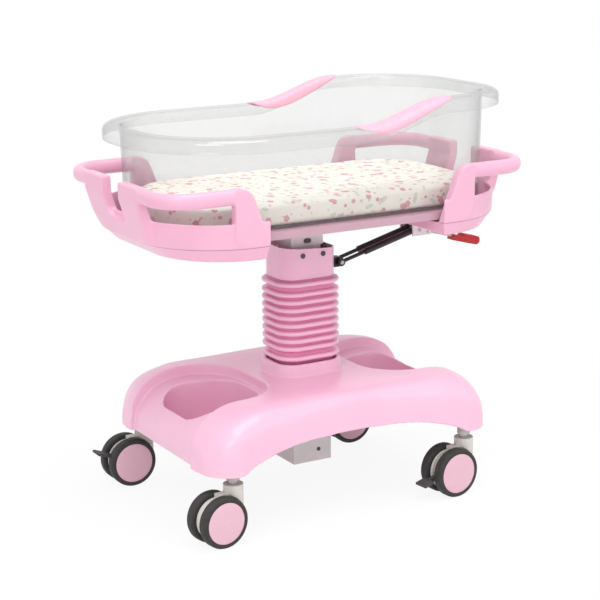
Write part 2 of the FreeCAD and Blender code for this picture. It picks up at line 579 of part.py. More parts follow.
def pedal(tag, x, y, turn, rest_angle):
    """A brake pedal. It turns on the axle, in the slot of the caster body."""
    ring = rod(tag + "_pedal_ring", "wheel_hub_r", "(slot_half - pedal_gap) * 2",
               ("0", "pedal_gap - slot_half", "0"), "y")
    arm = box(tag + "_pedal_arm", ("pedal_tip - pad_l * 0.9", "(slot_half - pedal_gap) * 2", "pad_t * 1.3"),
              ("-pedal_tip + pad_l * 0.9", "pedal_gap - slot_half", "-pad_t * 0.65"))
    pad = box(tag + "_pedal_pad", ("pad_l", "pad_w", "pad_t"), ("-pedal_tip", "-pad_w / 2", "-pad_t / 2"))
    lip = rod(tag + "_pedal_lip", "pad_t / 2", "pad_w", ("-pedal_tip", "-pad_w / 2", "0"), "y")
    bore = rod(tag + "_pedal_bore", "axle_r + run_gap", "slot_half * 4", ("0", "-slot_half * 2", "0"), "y")
    obj = cut(tag + "_pedal", fuse(tag + "_pedal_solid", ring, arm, pad, lip), bore)
    rotation = Rotation(Z_AXIS, turn).multiply(Rotation(Y_AXIS, dim(rest_angle)))
    put(obj, ("%s - trail * cos(%r)" % (x, turn), "%s - trail * sin(%r)" % (y, turn), "wheel_r"), rotation)
    part(tag + "_brake_pedal", obj)

def caster_stems():
    """The four stems, pressed into the frame's sockets and turning in the casters' housings."""
    stems = []
    for sign_x, sign_y in CORNERS:
        x = "%d * caster_x" % sign_x
        y = "%d * caster_y" % sign_y
        tag = "stem_%d_%d" % (sign_x + 1, sign_y + 1)
        pin = rod(tag + "_pin", "stem_r", "stem_top - housing_top + stem_depth",
                  (x, y, "housing_top - stem_depth"))
        ring = rod(tag + "_ring", "collar_r", "socket_low - housing_top - rest_gap",
                   (x, y, "housing_top + rest_gap"))
        stems.append(fuse(tag, pin, ring))
    part("caster_stems", group("caster_stems", *stems))

# ---------------------------------------------------------------- base

def ellipse_drop(share):
    """How far a quarter ellipse has fallen, from 0 to 1, at a share of its length."""
    return 1 - math.sqrt(max(0.0, 1 - min(1.0, max(0.0, share)) ** 2))

def base_half(x):
    """Half the width of the base: waisted in the middle, with rounded legs."""
    start = dim("base_x") - dim("corner_x")
    swell = (dim("base_y") - dim("base_waist")) * min(1.0, x / start) ** 1.6
    return dim("base_waist") + swell - dim("corner_y") * ellipse_drop((x - start) / dim("corner_x"))

def skirt_edge(x):
    """Height of the skirt's edge: an arch between the legs."""
    start = dim("base_x") - dim("corner_x")
    return dim("leg_low") + dim("arch_h") * (1 - min(1.0, x / start) ** 3.4)

def crown_height(x):
    """Height of the crown along its middle."""
    over_end = (x - dim("base_x") + dim("end_round_x")) / dim("end_round_x")
    return dim("base_top") - dim("end_round_z") * ellipse_drop(over_end)

def base_section(x, inset):
    """One cross-section of the base cover: a straight lower line and a smooth upper curve."""
    low = skirt_edge(x) - (2 * OVER if inset else 0.0)
    top = crown_height(x) - inset
    half = base_half(x) - inset
    lean = dim("skirt_lean")
    over_leg = smooth_step(x, dim("leg_round_start"), dim("base_x") - dim("corner_x"))
    side = dim("side_round") + (dim("side_round_end") - dim("side_round")) * x / dim("base_x")
    round_y = side + (dim("leg_round") - side) * over_leg
    round_y = min(round_y, (half - lean) * 0.7)
    over_side = smooth_step(x, 0.0, dim("base_x") - dim("corner_x"))
    round_z = dim("side_fall") + (dim("leg_fall") - dim("side_fall")) * over_side
    round_z = min(round_z, (top - low) * 0.8)
    points = [Vector(0, half, low), Vector(0, half - lean / 2, (low + top - round_z) / 2)]
    for i in range(7):
        angle = math.radians(15 * i)
        points.append(Vector(0, half - lean - round_y * (1 - math.cos(angle)),
                             top - round_z * (1 - math.sin(angle))))
    points.append(Vector(0, (half - lean - round_y) / 2, top))
    mirrored = [Vector(0, -p.y, p.z) for p in reversed(points)]
    curve = Part.BSplineCurve()
    curve.interpolate(points + [Vector(0, 0, top)] + mirrored)
    closing = Part.LineSegment(mirrored[-1], points[0])
    return Part.Wire([curve.toShape(), closing.toShape()])

def base_body(inset):
    """The base's outer body, or its hollow for an inset; the sections crowd towards the rounded ends."""
    reach = dim("base_x")
    start = reach - dim("corner_x")
    places = [start * share for share in (0.0, 0.35, 0.62, 0.8, 0.91, 1.0)]
    places += [start + dim("corner_x") * math.sin(math.radians(18 * i)) for i in range(1, 6)]
    wires = []
    for sign, row in ((-1, reversed(places[1:])), (1, places)):
        for x in row:
            wire = base_section(x, inset)
            wire.translate(Vector(sign * x * (reach - inset) / reach, 0, 0))
            wires.append(wire)
    return Part.makeLoft(wires, True, False)

def ledge_tool(grow):
    """What is cut above a ledge and outside its end panel; for the hollow it grows by the wall."""
    reach, half_y, length = dim("base_x"), dim("ledge_y") + grow, dim("end_round_x")
    inner = dim("ledge_in") - dim("ledge_step") - grow
    places = [inner, (inner + reach - length) / 2]
    places += [reach - length + length * math.sin(math.radians(15 * i)) for i in range(7)]
    down, shrink = dim("ledge_step") + grow, (reach - dim("end_recess") - grow) / reach
    curve = Part.BSplineCurve()
    curve.interpolate([Vector(x * shrink, -half_y - OVER, crown_height(x) - down) for x in places])
    low, high = curve.StartPoint, curve.EndPoint
    y = low.y
    corners = [high, Vector(high.x, y, 0), Vector(BIG, y, 0), Vector(BIG, y, BIG), Vector(low.x, y, BIG),
               low]
    lines = [Part.LineSegment(p, q).toShape() for p, q in zip(corners, corners[1:])]
    above = Part.Face(Part.Wire([curve.toShape()] + lines)).extrude(Vector(0, 2 * (half_y + OVER), 0))
    return above.common(face_prism(ledge_plan(grow), BIG))

def ledge_plan(grow):
    """The plan of a ledge: round at its inner end and open at the outer end."""
    inner, reach = dim("ledge_in") - grow, dim("base_x") + 2 * dim("end_round_x")
    half_y, radius = dim("ledge_y") + grow, dim("ledge_r") + grow
    a, b = Vector(reach, half_y, 0), Vector(inner + radius, half_y, 0)
    c, e = Vector(inner, half_y - radius, 0), Vector(inner, radius - half_y, 0)
    f, g = Vector(inner + radius, -half_y, 0), Vector(reach, -half_y, 0)
    upper = arc_to(b, c, Vector(inner + radius, half_y - radius, 0), radius)
    lower = arc_to(e, f, Vector(inner + radius, radius - half_y, 0), radius)
    lines = [Part.LineSegment(p, q).toShape() for p, q in ((a, b), (c, e), (f, g), (g, a))]
    return Part.Wire([lines[0], upper, lines[1], lower, lines[2], lines[3]])

def bin_plan(grow, z):
    """The plan of a storage bin: narrower at its inner end, with round corners."""
    inner, outer = dim("bin_in") - grow, dim("bin_out") + grow
    half, narrow = dim("bin_y") + grow, dim("bin_in_y") + grow
    corners = [Vector(outer, half, z), Vector(inner, narrow, z), Vector(inner, -narrow, z),
               Vector(outer, -half, z)]
    return round_polygon(corners, dim("bin_round") + grow)

def round_polygon(corners, radius):
    """A closed outline through corners, each rounded by the same radius."""
    count = len(corners)
    arcs = []
    for i, corner in enumerate(corners):
        back = (corners[i - 1] - corner).normalize()
        ahead = (corners[(i + 1) % count] - corner).normalize()
        half_angle = back.getAngle(ahead) / 2
        reach = radius / math.tan(half_angle)
        start, end = corner + back * reach, corner + ahead * reach
        inward = (back + ahead).normalize()
        centre = corner + inward * (radius / math.sin(half_angle))
        arcs.append((start, end, centre - inward * radius))
    edges = []
    for i, (start, end, middle) in enumerate(arcs):
        edges.append(Part.Arc(start, middle, end).toShape())
        edges.append(Part.LineSegment(end, arcs[(i + 1) % count][0]).toShape())
    return Part.Wire(edges)

def base_cover():
    """The moulded cover: a hollow dome with four legs, two ledges, two bins and the column's collar."""
    wall = dim("cover_t")
    ledge, hollow_ledge = ledge_tool(0.0), ledge_tool(wall)
    ledges = ledge.fuse(ledge.mirror(Vector(), X_AXIS))
    hollow_ledges = hollow_ledge.fuse(hollow_ledge.mirror(Vector(), X_AXIS))
    shell = base_body(0.0).cut(ledges).cut(base_body(wall).cut(hollow_ledges))
    bottom = dim("bin_floor") - wall
    tub = face_prism(bin_plan(wall, bottom), dim("base_top") - bottom).cut(ledge)
    hollow = face_prism(bin_plan(0.0, bottom + wall), BIG)
    shell = shell.fuse([tub, tub.mirror(Vector(), X_AXIS)]).cut([hollow, hollow.mirror(Vector(), X_AXIS)])
    shell = shell.fuse(collar_ring())
    thick, low = dim("collar_wall"), dim("leg_low")
    throat = rounded(dim("collar_x") - thick, dim("collar_y") - thick, dim("collar_round") - thick, low)
    gap = dim("bellows_gap")
    seat = rounded(dim("shroud_x") + gap, dim("shroud_y") + gap, dim("shroud_r"), dim("bellows_low"))
    shell = shell.cut([face_prism(throat, BIG), face_prism(seat, BIG)])
    part("base_cover", shaped("base_cover", shell.removeSplitter()))

def collar_ring():
    """The flared collar that holds the foot of the bellows."""
    x, y, radius, top = dim("collar_x"), dim("collar_y"), dim("collar_round"), dim("base_top")
    flare, pull = dim("collar_flare"), dim("collar_in")
    foot = rounded(x + flare, y + flare, radius + flare, top - dim("collar_foot"))
    waist = rounded(x, y, radius, top + dim("collar_waist"))
    rim = rounded(x - pull, y - pull, radius - pull, dim("collar_top"))
    return Part.makeLoft([foot, waist, rim], True, True)

def base_rails():
    """The two side rails of the welded frame inside the base cover, each with its caster sockets."""
    for side, sign in (("near", -1), ("far", 1)):
        pieces = [box("rail_" + side, ("(caster_x + socket_r) * 2", "frame_w", "frame_h"),
                      ("-caster_x - socket_r", "%d * rail_y - frame_w / 2" % sign, "frame_low"))]
        holes = []
        for end, turn in (("foot", -1), ("head", 1)):
            tag = "%s_%s" % (side, end)
            x, y = "%d * caster_x" % turn, "%d * caster_y" % sign
            start = "rail_y" if sign > 0 else "-caster_y"
            pieces.append(box("arm_" + tag, ("socket_r * 2", "caster_y - rail_y", "socket_top - frame_low"),
                              (x + " - socket_r", start, "frame_low")))
            pieces.append(rod("socket_" + tag, "socket_r", "socket_top - socket_low", (x, y, "socket_low")))
            holes.append(rod("stem_hole_" + tag, "stem_r", "stem_top - housing_top", (x, y, "housing_top")))
        name = "base_rail_" + side
        part(name, cut(name, fuse(name + "_solid", *pieces), *holes))

def base_cross_frame():
    """The cross bars between the rails, and the plate on them that carries the column."""
    pieces = []
    for end, sign in (("foot", -1), ("head", 1)):
        pieces.append(box("cross_" + end, ("frame_w", "rail_y * 2 - frame_w", "frame_h"),
                          ("%d * cross_x - frame_w / 2" % sign, "frame_w / 2 - rail_y", "frame_low")))
    pieces.append(box("foot_plate", ("cross_x * 2 + frame_w", "plate_y * 2", "plate_t"),
                      ("-cross_x - frame_w / 2", "-plate_y", "frame_low + frame_h")))
    hole = rod("spring_hole", "spring_r + spring_wall", "plate_t * 3",
               ("0", "0", "frame_low + frame_h - plate_t"))
    part("base_cross_frame", cut("base_cross_frame", fuse("base_cross_solid", *pieces), hole))

def lift_housing():
    """The sheet-metal box under the frame that holds the foot of the lift spring."""
    outside = box("lift_box_out", ("lift_box * 2", "lift_box * 2", "frame_low + frame_h - lift_low"),
                  ("-lift_box", "-lift_box", "lift_low"))
    inside = box("lift_box_in", ("(lift_box - sheet_t) * 2", "(lift_box - sheet_t) * 2", "frame_low"),
                 ("sheet_t - lift_box", "sheet_t - lift_box", "lift_low + sheet_t"))
    side_z = "lift_low + side_screw_up"
    room = rod("lift_screw_room", "lift_screw_r", "sheet_t * 4",
               ("lift_screw_in", "-lift_box - sheet_t", side_z), "y")
    part("lift_housing", cut("lift_housing", outside, inside, room))
    screws = [rod("lift_screw_side", "lift_screw_r", "sheet_t + side_screw_h",
                  ("lift_screw_in", "-lift_box - side_screw_h", side_z), "y")]
    for i, (sign_x, sign_y) in enumerate(CORNERS):
        place = ["%d * (lift_box - lift_screw_in)" % sign for sign in (sign_x, sign_y)]
        screws.append(rod("lift_screw_%d" % i, "lift_screw_r", "lift_screw_h",
                          place + ["lift_low - lift_screw_h"]))
    part("lift_housing_screws", group("lift_housing_screws", *screws))

# ---------------------------------------------------------------- column

def square_tube(name, half_x, half_y, wall, low, top):
    """A rectangular tube round the Z axis; every argument is an expression."""
    height = "(%s) - (%s)" % (top, low)
    outside = box(name + "_out", ("(%s) * 2" % half_x, "(%s) * 2" % half_y, height),
                  ("-(%s)" % half_x, "-(%s)" % half_y, low))
    inside = box(name + "_in", ("((%s) - (%s)) * 2" % (half_x, wall), "((%s) - (%s)) * 2" % (half_y, wall),
                                "%s + %g" % (height, 2 * OVER)),
                 ("(%s) - (%s)" % (wall, half_x), "(%s) - (%s)" % (wall, half_y),
                  "(%s) - %g" % (low, OVER)))
    return cut(name, outside, inside)

def column():
    outer_x = "inner_x + guide_t + tube_t"
    outer_y = "inner_y + guide_t + tube_t"
    part("outer_tube", square_tube("outer_tube", outer_x, outer_y, "tube_t",
                                   "frame_low + frame_h + plate_t", "outer_top"))
    part("glide_bush",
         square_tube("glide_bush", "inner_x + guide_t", "inner_y + guide_t", "guide_t - run_gap",
                                   "outer_top - guide_h", "outer_top"))
    part("inner_tube", square_tube("inner_tube", "inner_x", "inner_y", "tube_t", "inner_low", "head_low"))
    barrel = rod("spring_barrel", "spring_r", "spring_h", ("0", "0", "spring_low"))
    bore = rod("spring_bore", "spring_r - spring_wall", "spring_h - spring_cap",
               ("0", "0", "spring_low + spring_floor"))
    mouth = rod("spring_mouth", "rod_r + run_gap", "spring_cap * 2", ("0", "0", "spring_top - spring_cap"))
    part("lift_spring_cylinder", cut("lift_spring_cylinder", barrel, bore, mouth))
    foot = ("0", "0", "spring_low + piston_up")
    stick = rod("spring_stick", "rod_r", "head_low - spring_low - piston_up", foot)
    piston = rod("spring_piston", "spring_r - spring_wall - run_gap", "piston_h", foot)
    part("lift_spring_rod", fuse("lift_spring_rod", stick, piston))

def bellows():
    """The ribbed sleeve: a thin wall that runs in and out of ten ribs."""
    count = int(round(dim("rib_count")))
    pitch, gap, low = dim("rib_pitch"), dim("rib_end_gap"), dim("rib_low")
    heights = [low] + [low + gap + pitch * i for i in range(count - 2)]
    heights.append(heights[-1] + gap)
    x, y, radius, wall, foot = (dim(name) for name in ("shroud_x", "shroud_y", "shroud_r", "bellows_t",
                                                       "bellows_low"))
    core = face_prism(rounded(x, y, radius, foot), dim("shroud_low") - foot)
    ribs = [bellows_rib(z, dim("rib_x") - x, dim("rib_t")) for z in heights]
    bore = face_prism(rounded(x - wall, y - wall, radius - wall, foot - OVER), BIG)
    part("bellows", shaped("bellows", core.fuse(ribs).cut(bore)))

def bellows_rib(z, stand, thick):
    """One rib, thinner at its rim than at its root."""
    x, y, r = dim("shroud_x"), dim("shroud_y"), dim("shroud_r")
    levels = ((-0.5, 0.45), (-0.34, 0.86), (-0.16, 1.0), (0.16, 1.0), (0.34, 0.86), (0.5, 0.45))
    wires = [rounded(x + stand * s, y + stand * s, r + stand * s, z + thick * h) for h, s in levels]
    return Part.makeLoft(wires, True, True)

def column_cover():
    """The cover round the top of the column, open at the top and slotted for the strut bracket."""
    low, high = dim("shroud_low"), dim("shroud_top")
    x, y, r, wall = dim("shroud_x"), dim("shroud_y"), dim("shroud_r"), dim("shroud_t")
    outer = face_prism(rounded(x, y, r, low), high - low)
    inner = face_prism(rounded(x - wall, y - wall, r - wall, low - OVER), BIG)
    slot_w = dim("slot_w")
    slot = Part.makeBox(x, slot_w, BIG,
                        Vector(0, dim("strut_y") - slot_w / 2, dim("low_z") + dim("slot_up") - BIG))
    side = x + OVER
    dip = side_prism([(-side, BIG), (-side, high), (side, high - dim("shroud_fall")), (side, BIG)],
                     y + OVER)
    shape = outer.cut([inner, slot, dip])
    for sign_x, sign_y in CORNERS:
        start = Vector(sign_x * dim("boss_x"), sign_y * (y + OVER), dim("boss_z"))
        shape = shape.cut(Part.makeCylinder(dim("screw_r"), wall + 2 * OVER, start, Vector(0, -sign_y, 0)))
    part("column_cover", shaped("column_cover", shape))
    screws = []
    for sign_x, sign_y in CORNERS:
        start = "shroud_y - shroud_t - screw_in" if sign_y > 0 else "-shroud_y"
        tag = "cover_screw_%d_%d" % (sign_x + 1, sign_y + 1)
        shank = rod(tag + "_shank", "screw_r", "shroud_t + screw_in",
                    ("%d * boss_x" % sign_x, start, "boss_z"), "y")
        head_y = "shroud_y" if sign_y > 0 else "-shroud_y - screw_head_t"
        head = rod(tag + "_head", "screw_r * screw_head", "screw_head_t",
                   ("%d * boss_x" % sign_x, head_y, "boss_z"), "y")
        screws.append(fuse(tag, shank, head))
    part("column_cover_screws", group("column_cover_screws", *screws))

def column_head():
    """The block on top of the inner tube: the tilt pin's seat and the column cover's bosses."""
    block = box("head_block", ("inner_x * 2", "inner_y * 2", "head_top - head_low"),
                ("-inner_x", "-inner_y", "head_low"))
    bosses, holes = [], [rod("head_pin_hole", "pin_r", "inner_y * 4", ("0", "-inner_y * 2", "tilt_z"), "y")]
    for i, (sign_x, sign_y) in enumerate(CORNERS):
        x = "%d * boss_x" % sign_x
        start = "inner_y / 2" if sign_y > 0 else "shroud_t - shroud_y"
        bosses.append(rod("boss_%d" % i, "boss_r", "shroud_y - shroud_t - inner_y / 2",
                          (x, start, "boss_z"), "y"))
        start = "shroud_y - shroud_t - screw_in" if sign_y > 0 else "-shroud_y"
        holes.append(rod("boss_hole_%d" % i, "screw_r", "shroud_t + screw_in", (x, start, "boss_z"), "y"))
    holes.append(rod("head_bolt_hole", "bolt_r", "bolt_l",
                     ("inner_x - bolt_in", "strut_y", "head_top - bolt_down"), "x"))
    part("column_head", cut("column_head", fuse("column_head_solid", block, *bosses), *holes))
    half = "(inner_y + bracket_gap + sheet_t - rest_gap)"
    part("tilt_pin", rod("tilt_pin", "pin_r", half + " * 2", ("0", "-" + half, "tilt_z"), "y"))

def strut_bracket():
    """The bracket on the column head that carries the struts' lower pin."""
    plate = box("strut_plate", ("mount_t", "mount_w", "head_top - mount_down - low_z + mount_low"),
                ("inner_x", "strut_y - mount_near", "low_z - mount_low"))
    tongue_w = "(strut_gap * 2 - eye_w - tongue_gap * 2)"
    tongue_y = "strut_y - %s / 2" % tongue_w
    tongue = box("strut_tongue", ("low_x - inner_x", tongue_w, "tongue_r * 2"),
                 ("inner_x", tongue_y, "low_z - tongue_r"))
    nose = rod("strut_nose", "tongue_r", tongue_w, ("low_x", tongue_y, "low_z"), "y")
    pin_hole = rod("strut_low_hole", "strut_pin_r", "strut_gap * 4",
                   ("low_x", "strut_y - strut_gap * 2", "low_z"), "y")
    bolt_hole = rod("strut_bolt_hole", "bolt_r", "mount_t * 3",
                    ("inner_x - mount_t", "strut_y", "head_top - bolt_down"), "x")
    part("strut_bracket",
         cut("strut_bracket", fuse("strut_bracket_solid", plate, tongue, nose), pin_hole, bolt_hole))
    half = "(strut_gap + eye_w / 2 + pin_over)"
    part("strut_pin_low",
         rod("strut_pin_low", "strut_pin_r", half + " * 2", ("low_x", "strut_y - " + half, "low_z"), "y"))
    shank = rod("bracket_bolt_shank", "bolt_r", "bolt_l",
                ("inner_x - bolt_in", "strut_y", "head_top - bolt_down"), "x")
    head = rod("bracket_bolt_head", "bolt_head_r", "bolt_head_h",
               ("inner_x + mount_t", "strut_y", "head_top - bolt_down"), "x")
    part("bracket_bolt", fuse("bracket_bolt", shank, head))

# ---------------------------------------------------------------- bed

def bed_bracket():
    """The folded bracket under the bed beam; its cheeks hang on the tilt pin."""
    gap = "(inner_y + bracket_gap)"
    cheeks = []
    for side, start in (("near", "-%s - sheet_t" % gap), ("far", gap)):
        cheeks.append(box("cheek_" + side, ("bracket_x * 2", "sheet_t", "beam_low - bracket_low"),
                          ("-bracket_x", start, "bracket_low")))
    bridge = box("bracket_bridge", ("bracket_x * 2", "(%s + sheet_t) * 2" % gap, "sheet_t"),
                 ("-bracket_x", "-%s - sheet_t" % gap, "beam_low - sheet_t"))
    hole = rod("bracket_hole", "pin_r + run_gap", "inner_y * 4", ("0", "-inner_y * 2", "tilt_z"), "y")
    part("bed_bracket", cut("bed_bracket", fuse("bed_bracket_solid", *cheeks, bridge), hole))
    keepers = []
    for side, start in (("near", "-%s - sheet_t - keeper_t" % gap), ("far", "%s + sheet_t" % gap)):
        bar = box("keeper_bar_" + side, ("keeper_half * 2", "keeper_t", "keeper_r * 2"),
                  ("-keeper_half", start, "tilt_z - keeper_r"))
        left = rod("keeper_left_" + side, "keeper_r", "keeper_t", ("-keeper_half", start, "tilt_z"), "y")
        right = rod("keeper_right_" + side, "keeper_r", "keeper_t", ("keeper_half", start, "tilt_z"), "y")
        keepers.append(fuse("keeper_" + side, bar, left, right))
    part("pin_keepers", group("pin_keepers", *keepers))

def bed_frame():
    """The steel beam under the platform, with two cross bars."""
    pieces = [square_beam("beam", "-beam_start", "up_x + beam_over", "beam_y", "beam_low", "bed_low")]
    half = "(bed_y - rail_t - bar_gap)"
    for end, sign in (("foot", -1), ("head", 1)):
        pieces.append(box("bed_cross_" + end, ("bar_len", half + " * 2", "bed_low - beam_low"),
                          ("%d * cross_at - bar_len / 2" % sign, "-" + half, "beam_low")))
    part("bed_frame", fuse("bed_frame", *pieces))

def square_beam(name, start, end, half_y, low, top):
    """A rectangular tube along X."""
    outside = box(name + "_out",
                  ("(%s) - (%s)" % (end, start), "(%s) * 2" % half_y, "(%s) - (%s)" % (top, low)),
                  (start, "-(%s)" % half_y, low))
    inside = box(name + "_in", ("(%s) - (%s) + %g" % (end, start, 2 * OVER), "((%s) - tube_t) * 2" % half_y,
                                "(%s) - (%s) - tube_t * 2" % (top, low)),
                 ("(%s) - %g" % (start, OVER), "tube_t - (%s)" % half_y, "(%s) + tube_t" % low))
    return cut(name, outside, inside)

def bed_platform():
    """The pan that carries the basin: a flat top with a rail down its edge."""
    x, y, r = dim("bed_x"), dim("bed_y"), dim("bed_r")
    low, top, rail = dim("bed_low"), dim("bed_top"), dim("rail_t")
    whole = face_prism(rounded(x, y, r, low), top - low)
    hollow = face_prism(rounded(x - rail, y - rail, r - rail, low - OVER),
                        top - low - dim("sheet_t") + OVER)
    pan = whole.cut(hollow)
    stay = dim("stay_w")
    for start in (-dim("beam_y"), dim("beam_y") - stay):
        pan = pan.fuse(Part.makeBox(2 * (x - rail), stay, top - low, Vector(rail - x, start, low)))
    part("bed_platform", shaped("bed_platform", pan.removeSplitter()))

def strut_yoke():
    """The channel that hangs under the bed beam and carries the struts' upper pin and the lever."""
    reach = "(strut_gap + strut_tube_r + yoke_gap)"
    start_x, low = "up_x - yoke_back", "up_z - yoke_down"
    plates = []
    for side, start in (("near", "strut_y - %s - yoke_t" % reach), ("far", "strut_y + %s" % reach)):
        plates.append(box("yoke_" + side, ("yoke_l", "yoke_t", "beam_low - (%s)" % low),
                          (start_x, start, low)))
    half = "(%s + yoke_t)" % reach
    top = box("yoke_top", ("yoke_l", half + " * 2", "yoke_t"),
              (start_x, "strut_y - " + half, "beam_low - yoke_t"))
    hole = rod("yoke_hole", "strut_pin_r", half + " * 4", ("up_x", "strut_y - %s * 2" % half, "up_z"), "y")
    lever_hole = rod("yoke_lever_hole", "lever_pin_r", half + " * 4",
                     ("lever_x", "strut_y - %s * 2" % half, "lever_z"), "y")
    part("strut_yoke", cut("strut_yoke", fuse("strut_yoke_solid", *plates, top), hole, lever_hole))
    pin_l, pin_y = "(%s + pin_end) * 2" % half, "strut_y - %s - pin_end" % half
    part("strut_pin_up", rod("strut_pin_up", "strut_pin_r", pin_l, ("up_x", pin_y, "up_z"), "y"))
    part("lever_pin", rod("lever_pin", "lever_pin_r", pin_l, ("lever_x", pin_y, "lever_z"), "y"))

def strut_frame():
    """The struts' own frame: X along the strut from the lower pin to the upper one."""
    rise, run = dim("up_z") - dim("low_z"), dim("up_x") - dim("low_x")
    angle = math.degrees(math.atan2(rise, run))
    return math.hypot(rise, run), Rotation(Y_AXIS, -angle)

def struts():
    """Two gas springs side by side: rods at the column, tubes at the bed."""
    length, turn = strut_frame()
    origin = ("low_x", "0", "low_z")
    span = "sqrt((up_x - low_x) ^ 2 + (up_z - low_z) ^ 2)"
    rods, tubes = [], []
    for side, sign in (("near", -1), ("far", 1)):
        y = "strut_y + %d * strut_gap" % sign
        eye = rod("rod_eye_" + side, "eye_r", "eye_w", ("0", y + " - eye_w / 2", "0"), "y")
        shaft = rod("rod_shaft_" + side, "strut_rod_r", "%s - rod_short - strut_pin_r * 1.4" % span,
                    ("strut_pin_r * 1.4", y, "0"), "x")
        eye_hole = rod("rod_hole_" + side, "strut_pin_r + run_gap", "eye_w * 2", ("0", y + " - eye_w", "0"),
                       "y")
        rods.append(cut("strut_rod_" + side, fuse("strut_rod_solid_" + side, eye, shaft), eye_hole))
        barrel = rod("tube_barrel_" + side, "strut_tube_r", "%s - tube_start" % span,
                     ("tube_start", y, "0"), "x")
        bore = rod("tube_bore_" + side, "strut_rod_r + run_gap", "%s - bore_short" % span, ("0", y, "0"),
                   "x")
        lug = rod("tube_lug_" + side, "eye_r + 1", "eye_w", (span, y + " - eye_w / 2", "0"), "y")
        lug_hole = rod("tube_hole_" + side, "strut_pin_r + open_gap", "eye_w * 2",
                       (span, y + " - eye_w", "0"), "y")
        hollow = cut("tube_hollow_" + side, barrel, bore)
        tubes.append(cut("strut_tube_" + side, fuse("strut_tube_solid_" + side, hollow, lug), lug_hole))
    part("strut_rods", put(group("strut_rods", *rods), origin, turn))
    part("strut_tubes", put(group("strut_tubes", *tubes), origin, turn))

def lever():
    """The release lever: a steel arm with a red grip."""
    length = math.hypot(dim("lever_reach"), dim("lever_drop"))
    turn = Rotation(Y_AXIS, math.degrees(math.atan2(dim("lever_drop"), dim("lever_reach"))))
    origin = ("lever_x", "strut_y", "lever_z")
    arm = ("%r - grip_l / 2" % length, "lever_w", "lever_t")
    hub = rod("lever_hub", "lever_hub_r", "lever_w", ("0", "-lever_w / 2", "0"), "y")
    blade = box("lever_blade", arm, ("0", "-lever_w / 2", "-lever_t / 2"))
    bore = rod("lever_bore", "lever_pin_r + run_gap", "lever_w * 3", ("0", "-lever_w * 1.5", "0"), "y")
    part("release_lever", put(cut("release_lever", fuse("lever_solid", hub, blade), bore), origin, turn))
    grip_start = "%r - grip_l" % length
    body = box("grip_body", ("grip_l - grip_h / 2", "grip_w", "grip_h"),
               (grip_start, "-grip_w / 2", "-grip_h / 2"))
    nose = rod("grip_nose", "grip_h / 2", "grip_w", ("%r - grip_h / 2" % length, "-grip_w / 2", "0"), "y")
    wedge = box("grip_wedge", ("wedge_l + %g" % OVER, "grip_w * 2", "grip_h"),
                (grip_start + " - %g" % OVER, "-grip_w", "wedge_z"))
    socket = box("grip_socket", arm, ("0", "-lever_w / 2", "-lever_t / 2"))
    part("lever_grip", put(cut("lever_grip", fuse("grip_solid", body, nose), wedge, socket), origin, turn))

def tray_shell():
    """The lower part of a tray: a thin tub, tapered under its fold line, with a sill on top."""
    inner, reach, half = dim("tray_in"), dim("fold_x"), dim("fold_y")
    radius, wall, low_radius = dim("fold_r"), dim("tray_t"), dim("tray_low_r")
    low, fold = dim("tray_low"), dim("fold_z")
    sill = fold + dim("sill_h")
    taper, side, step = dim("tray_taper"), dim("tray_side"), dim("fold_step")
    foot = rounded(reach - taper, half - side, low_radius, low)
    under = rounded(reach - step, half - step / 2, radius - step, fold)
    line = rounded(reach, half, radius, fold)
    brim = rounded(reach + dim("sill_out"), half, radius, sill)
    solid = Part.makeLoft([foot, under], True, True).fuse(Part.makeLoft([line, brim], True, True))
    lean = dim("tray_in_low")
    solid = solid.common(side_prism([(inner + lean, low), (inner, fold), (inner, BIG), (BIG, BIG),
                                     (BIG, low)], BIG))
    floor = rounded(reach - taper - wall, half - side - wall, low_radius - wall, low + wall)
    knee = rounded(reach - wall, half - wall, radius - wall, fold + OVER)
    wall_in = [(inner + wall + lean, low), (inner + wall, fold + OVER), (BIG, BIG), (BIG, low)]
    room = Part.makeLoft([floor, knee], True, True).common(side_prism(wall_in, BIG))
    above = face_prism(rounded(reach - wall, half - wall, radius - wall, fold), BIG)
    return solid.cut([room, above])

def tray_ring():
    """The thick upper part: two cheeks and the end block with its two posts."""
    inner, fold, end = dim("tray_in"), dim("fold_z"), dim("fold_x")
    top = dim("bar_z") + dim("bar_h") / 2
    knee = top - dim("bar_h")
    thick, radius, round_r = dim("block_t"), dim("fold_r"), dim("bar_round")
    half, wide, reach = dim("fold_y"), dim("fold_y") + dim("bar_out"), dim("bar_x")
    line, high = rounded(end, half, radius, fold), rounded(reach, wide, round_r, knee)
    body = Part.makeLoft([line, high], True, True).fuse(face_prism(high, top - knee))
    line_in = rounded(end - thick, half - thick, radius - thick, fold)
    high_in = rounded(reach - thick, wide - thick, round_r - thick, knee)
    room = Part.makeLoft([line_in, high_in], True, True).fuse(face_prism(high_in, BIG))
    gaps = []
    for sign in (-1, 1):
        start_y = dim("post_out") if sign > 0 else -dim("post_out") - BIG
        gaps.append(Part.makeBox(BIG, BIG, BIG, Vector(inner + dim("cheek_l"), start_y, fold - OVER)))
    lean, long, tall = dim("cheek_lean"), dim("cheek_round"), dim("cheek_round_z")
    edge = [(-BIG, 0), (inner, 0), (inner, fold), (inner + lean * 0.8, top - tall),
            (inner + lean, top - tall * 0.4),
            (inner + lean + long * 0.45, top - tall * 0.12), (inner + lean + long,
                                                              top), (inner + lean + long, BIG),
            (-BIG, BIG)]
    return body.cut([room, notch_tool(), side_prism(edge, BIG)] + gaps)

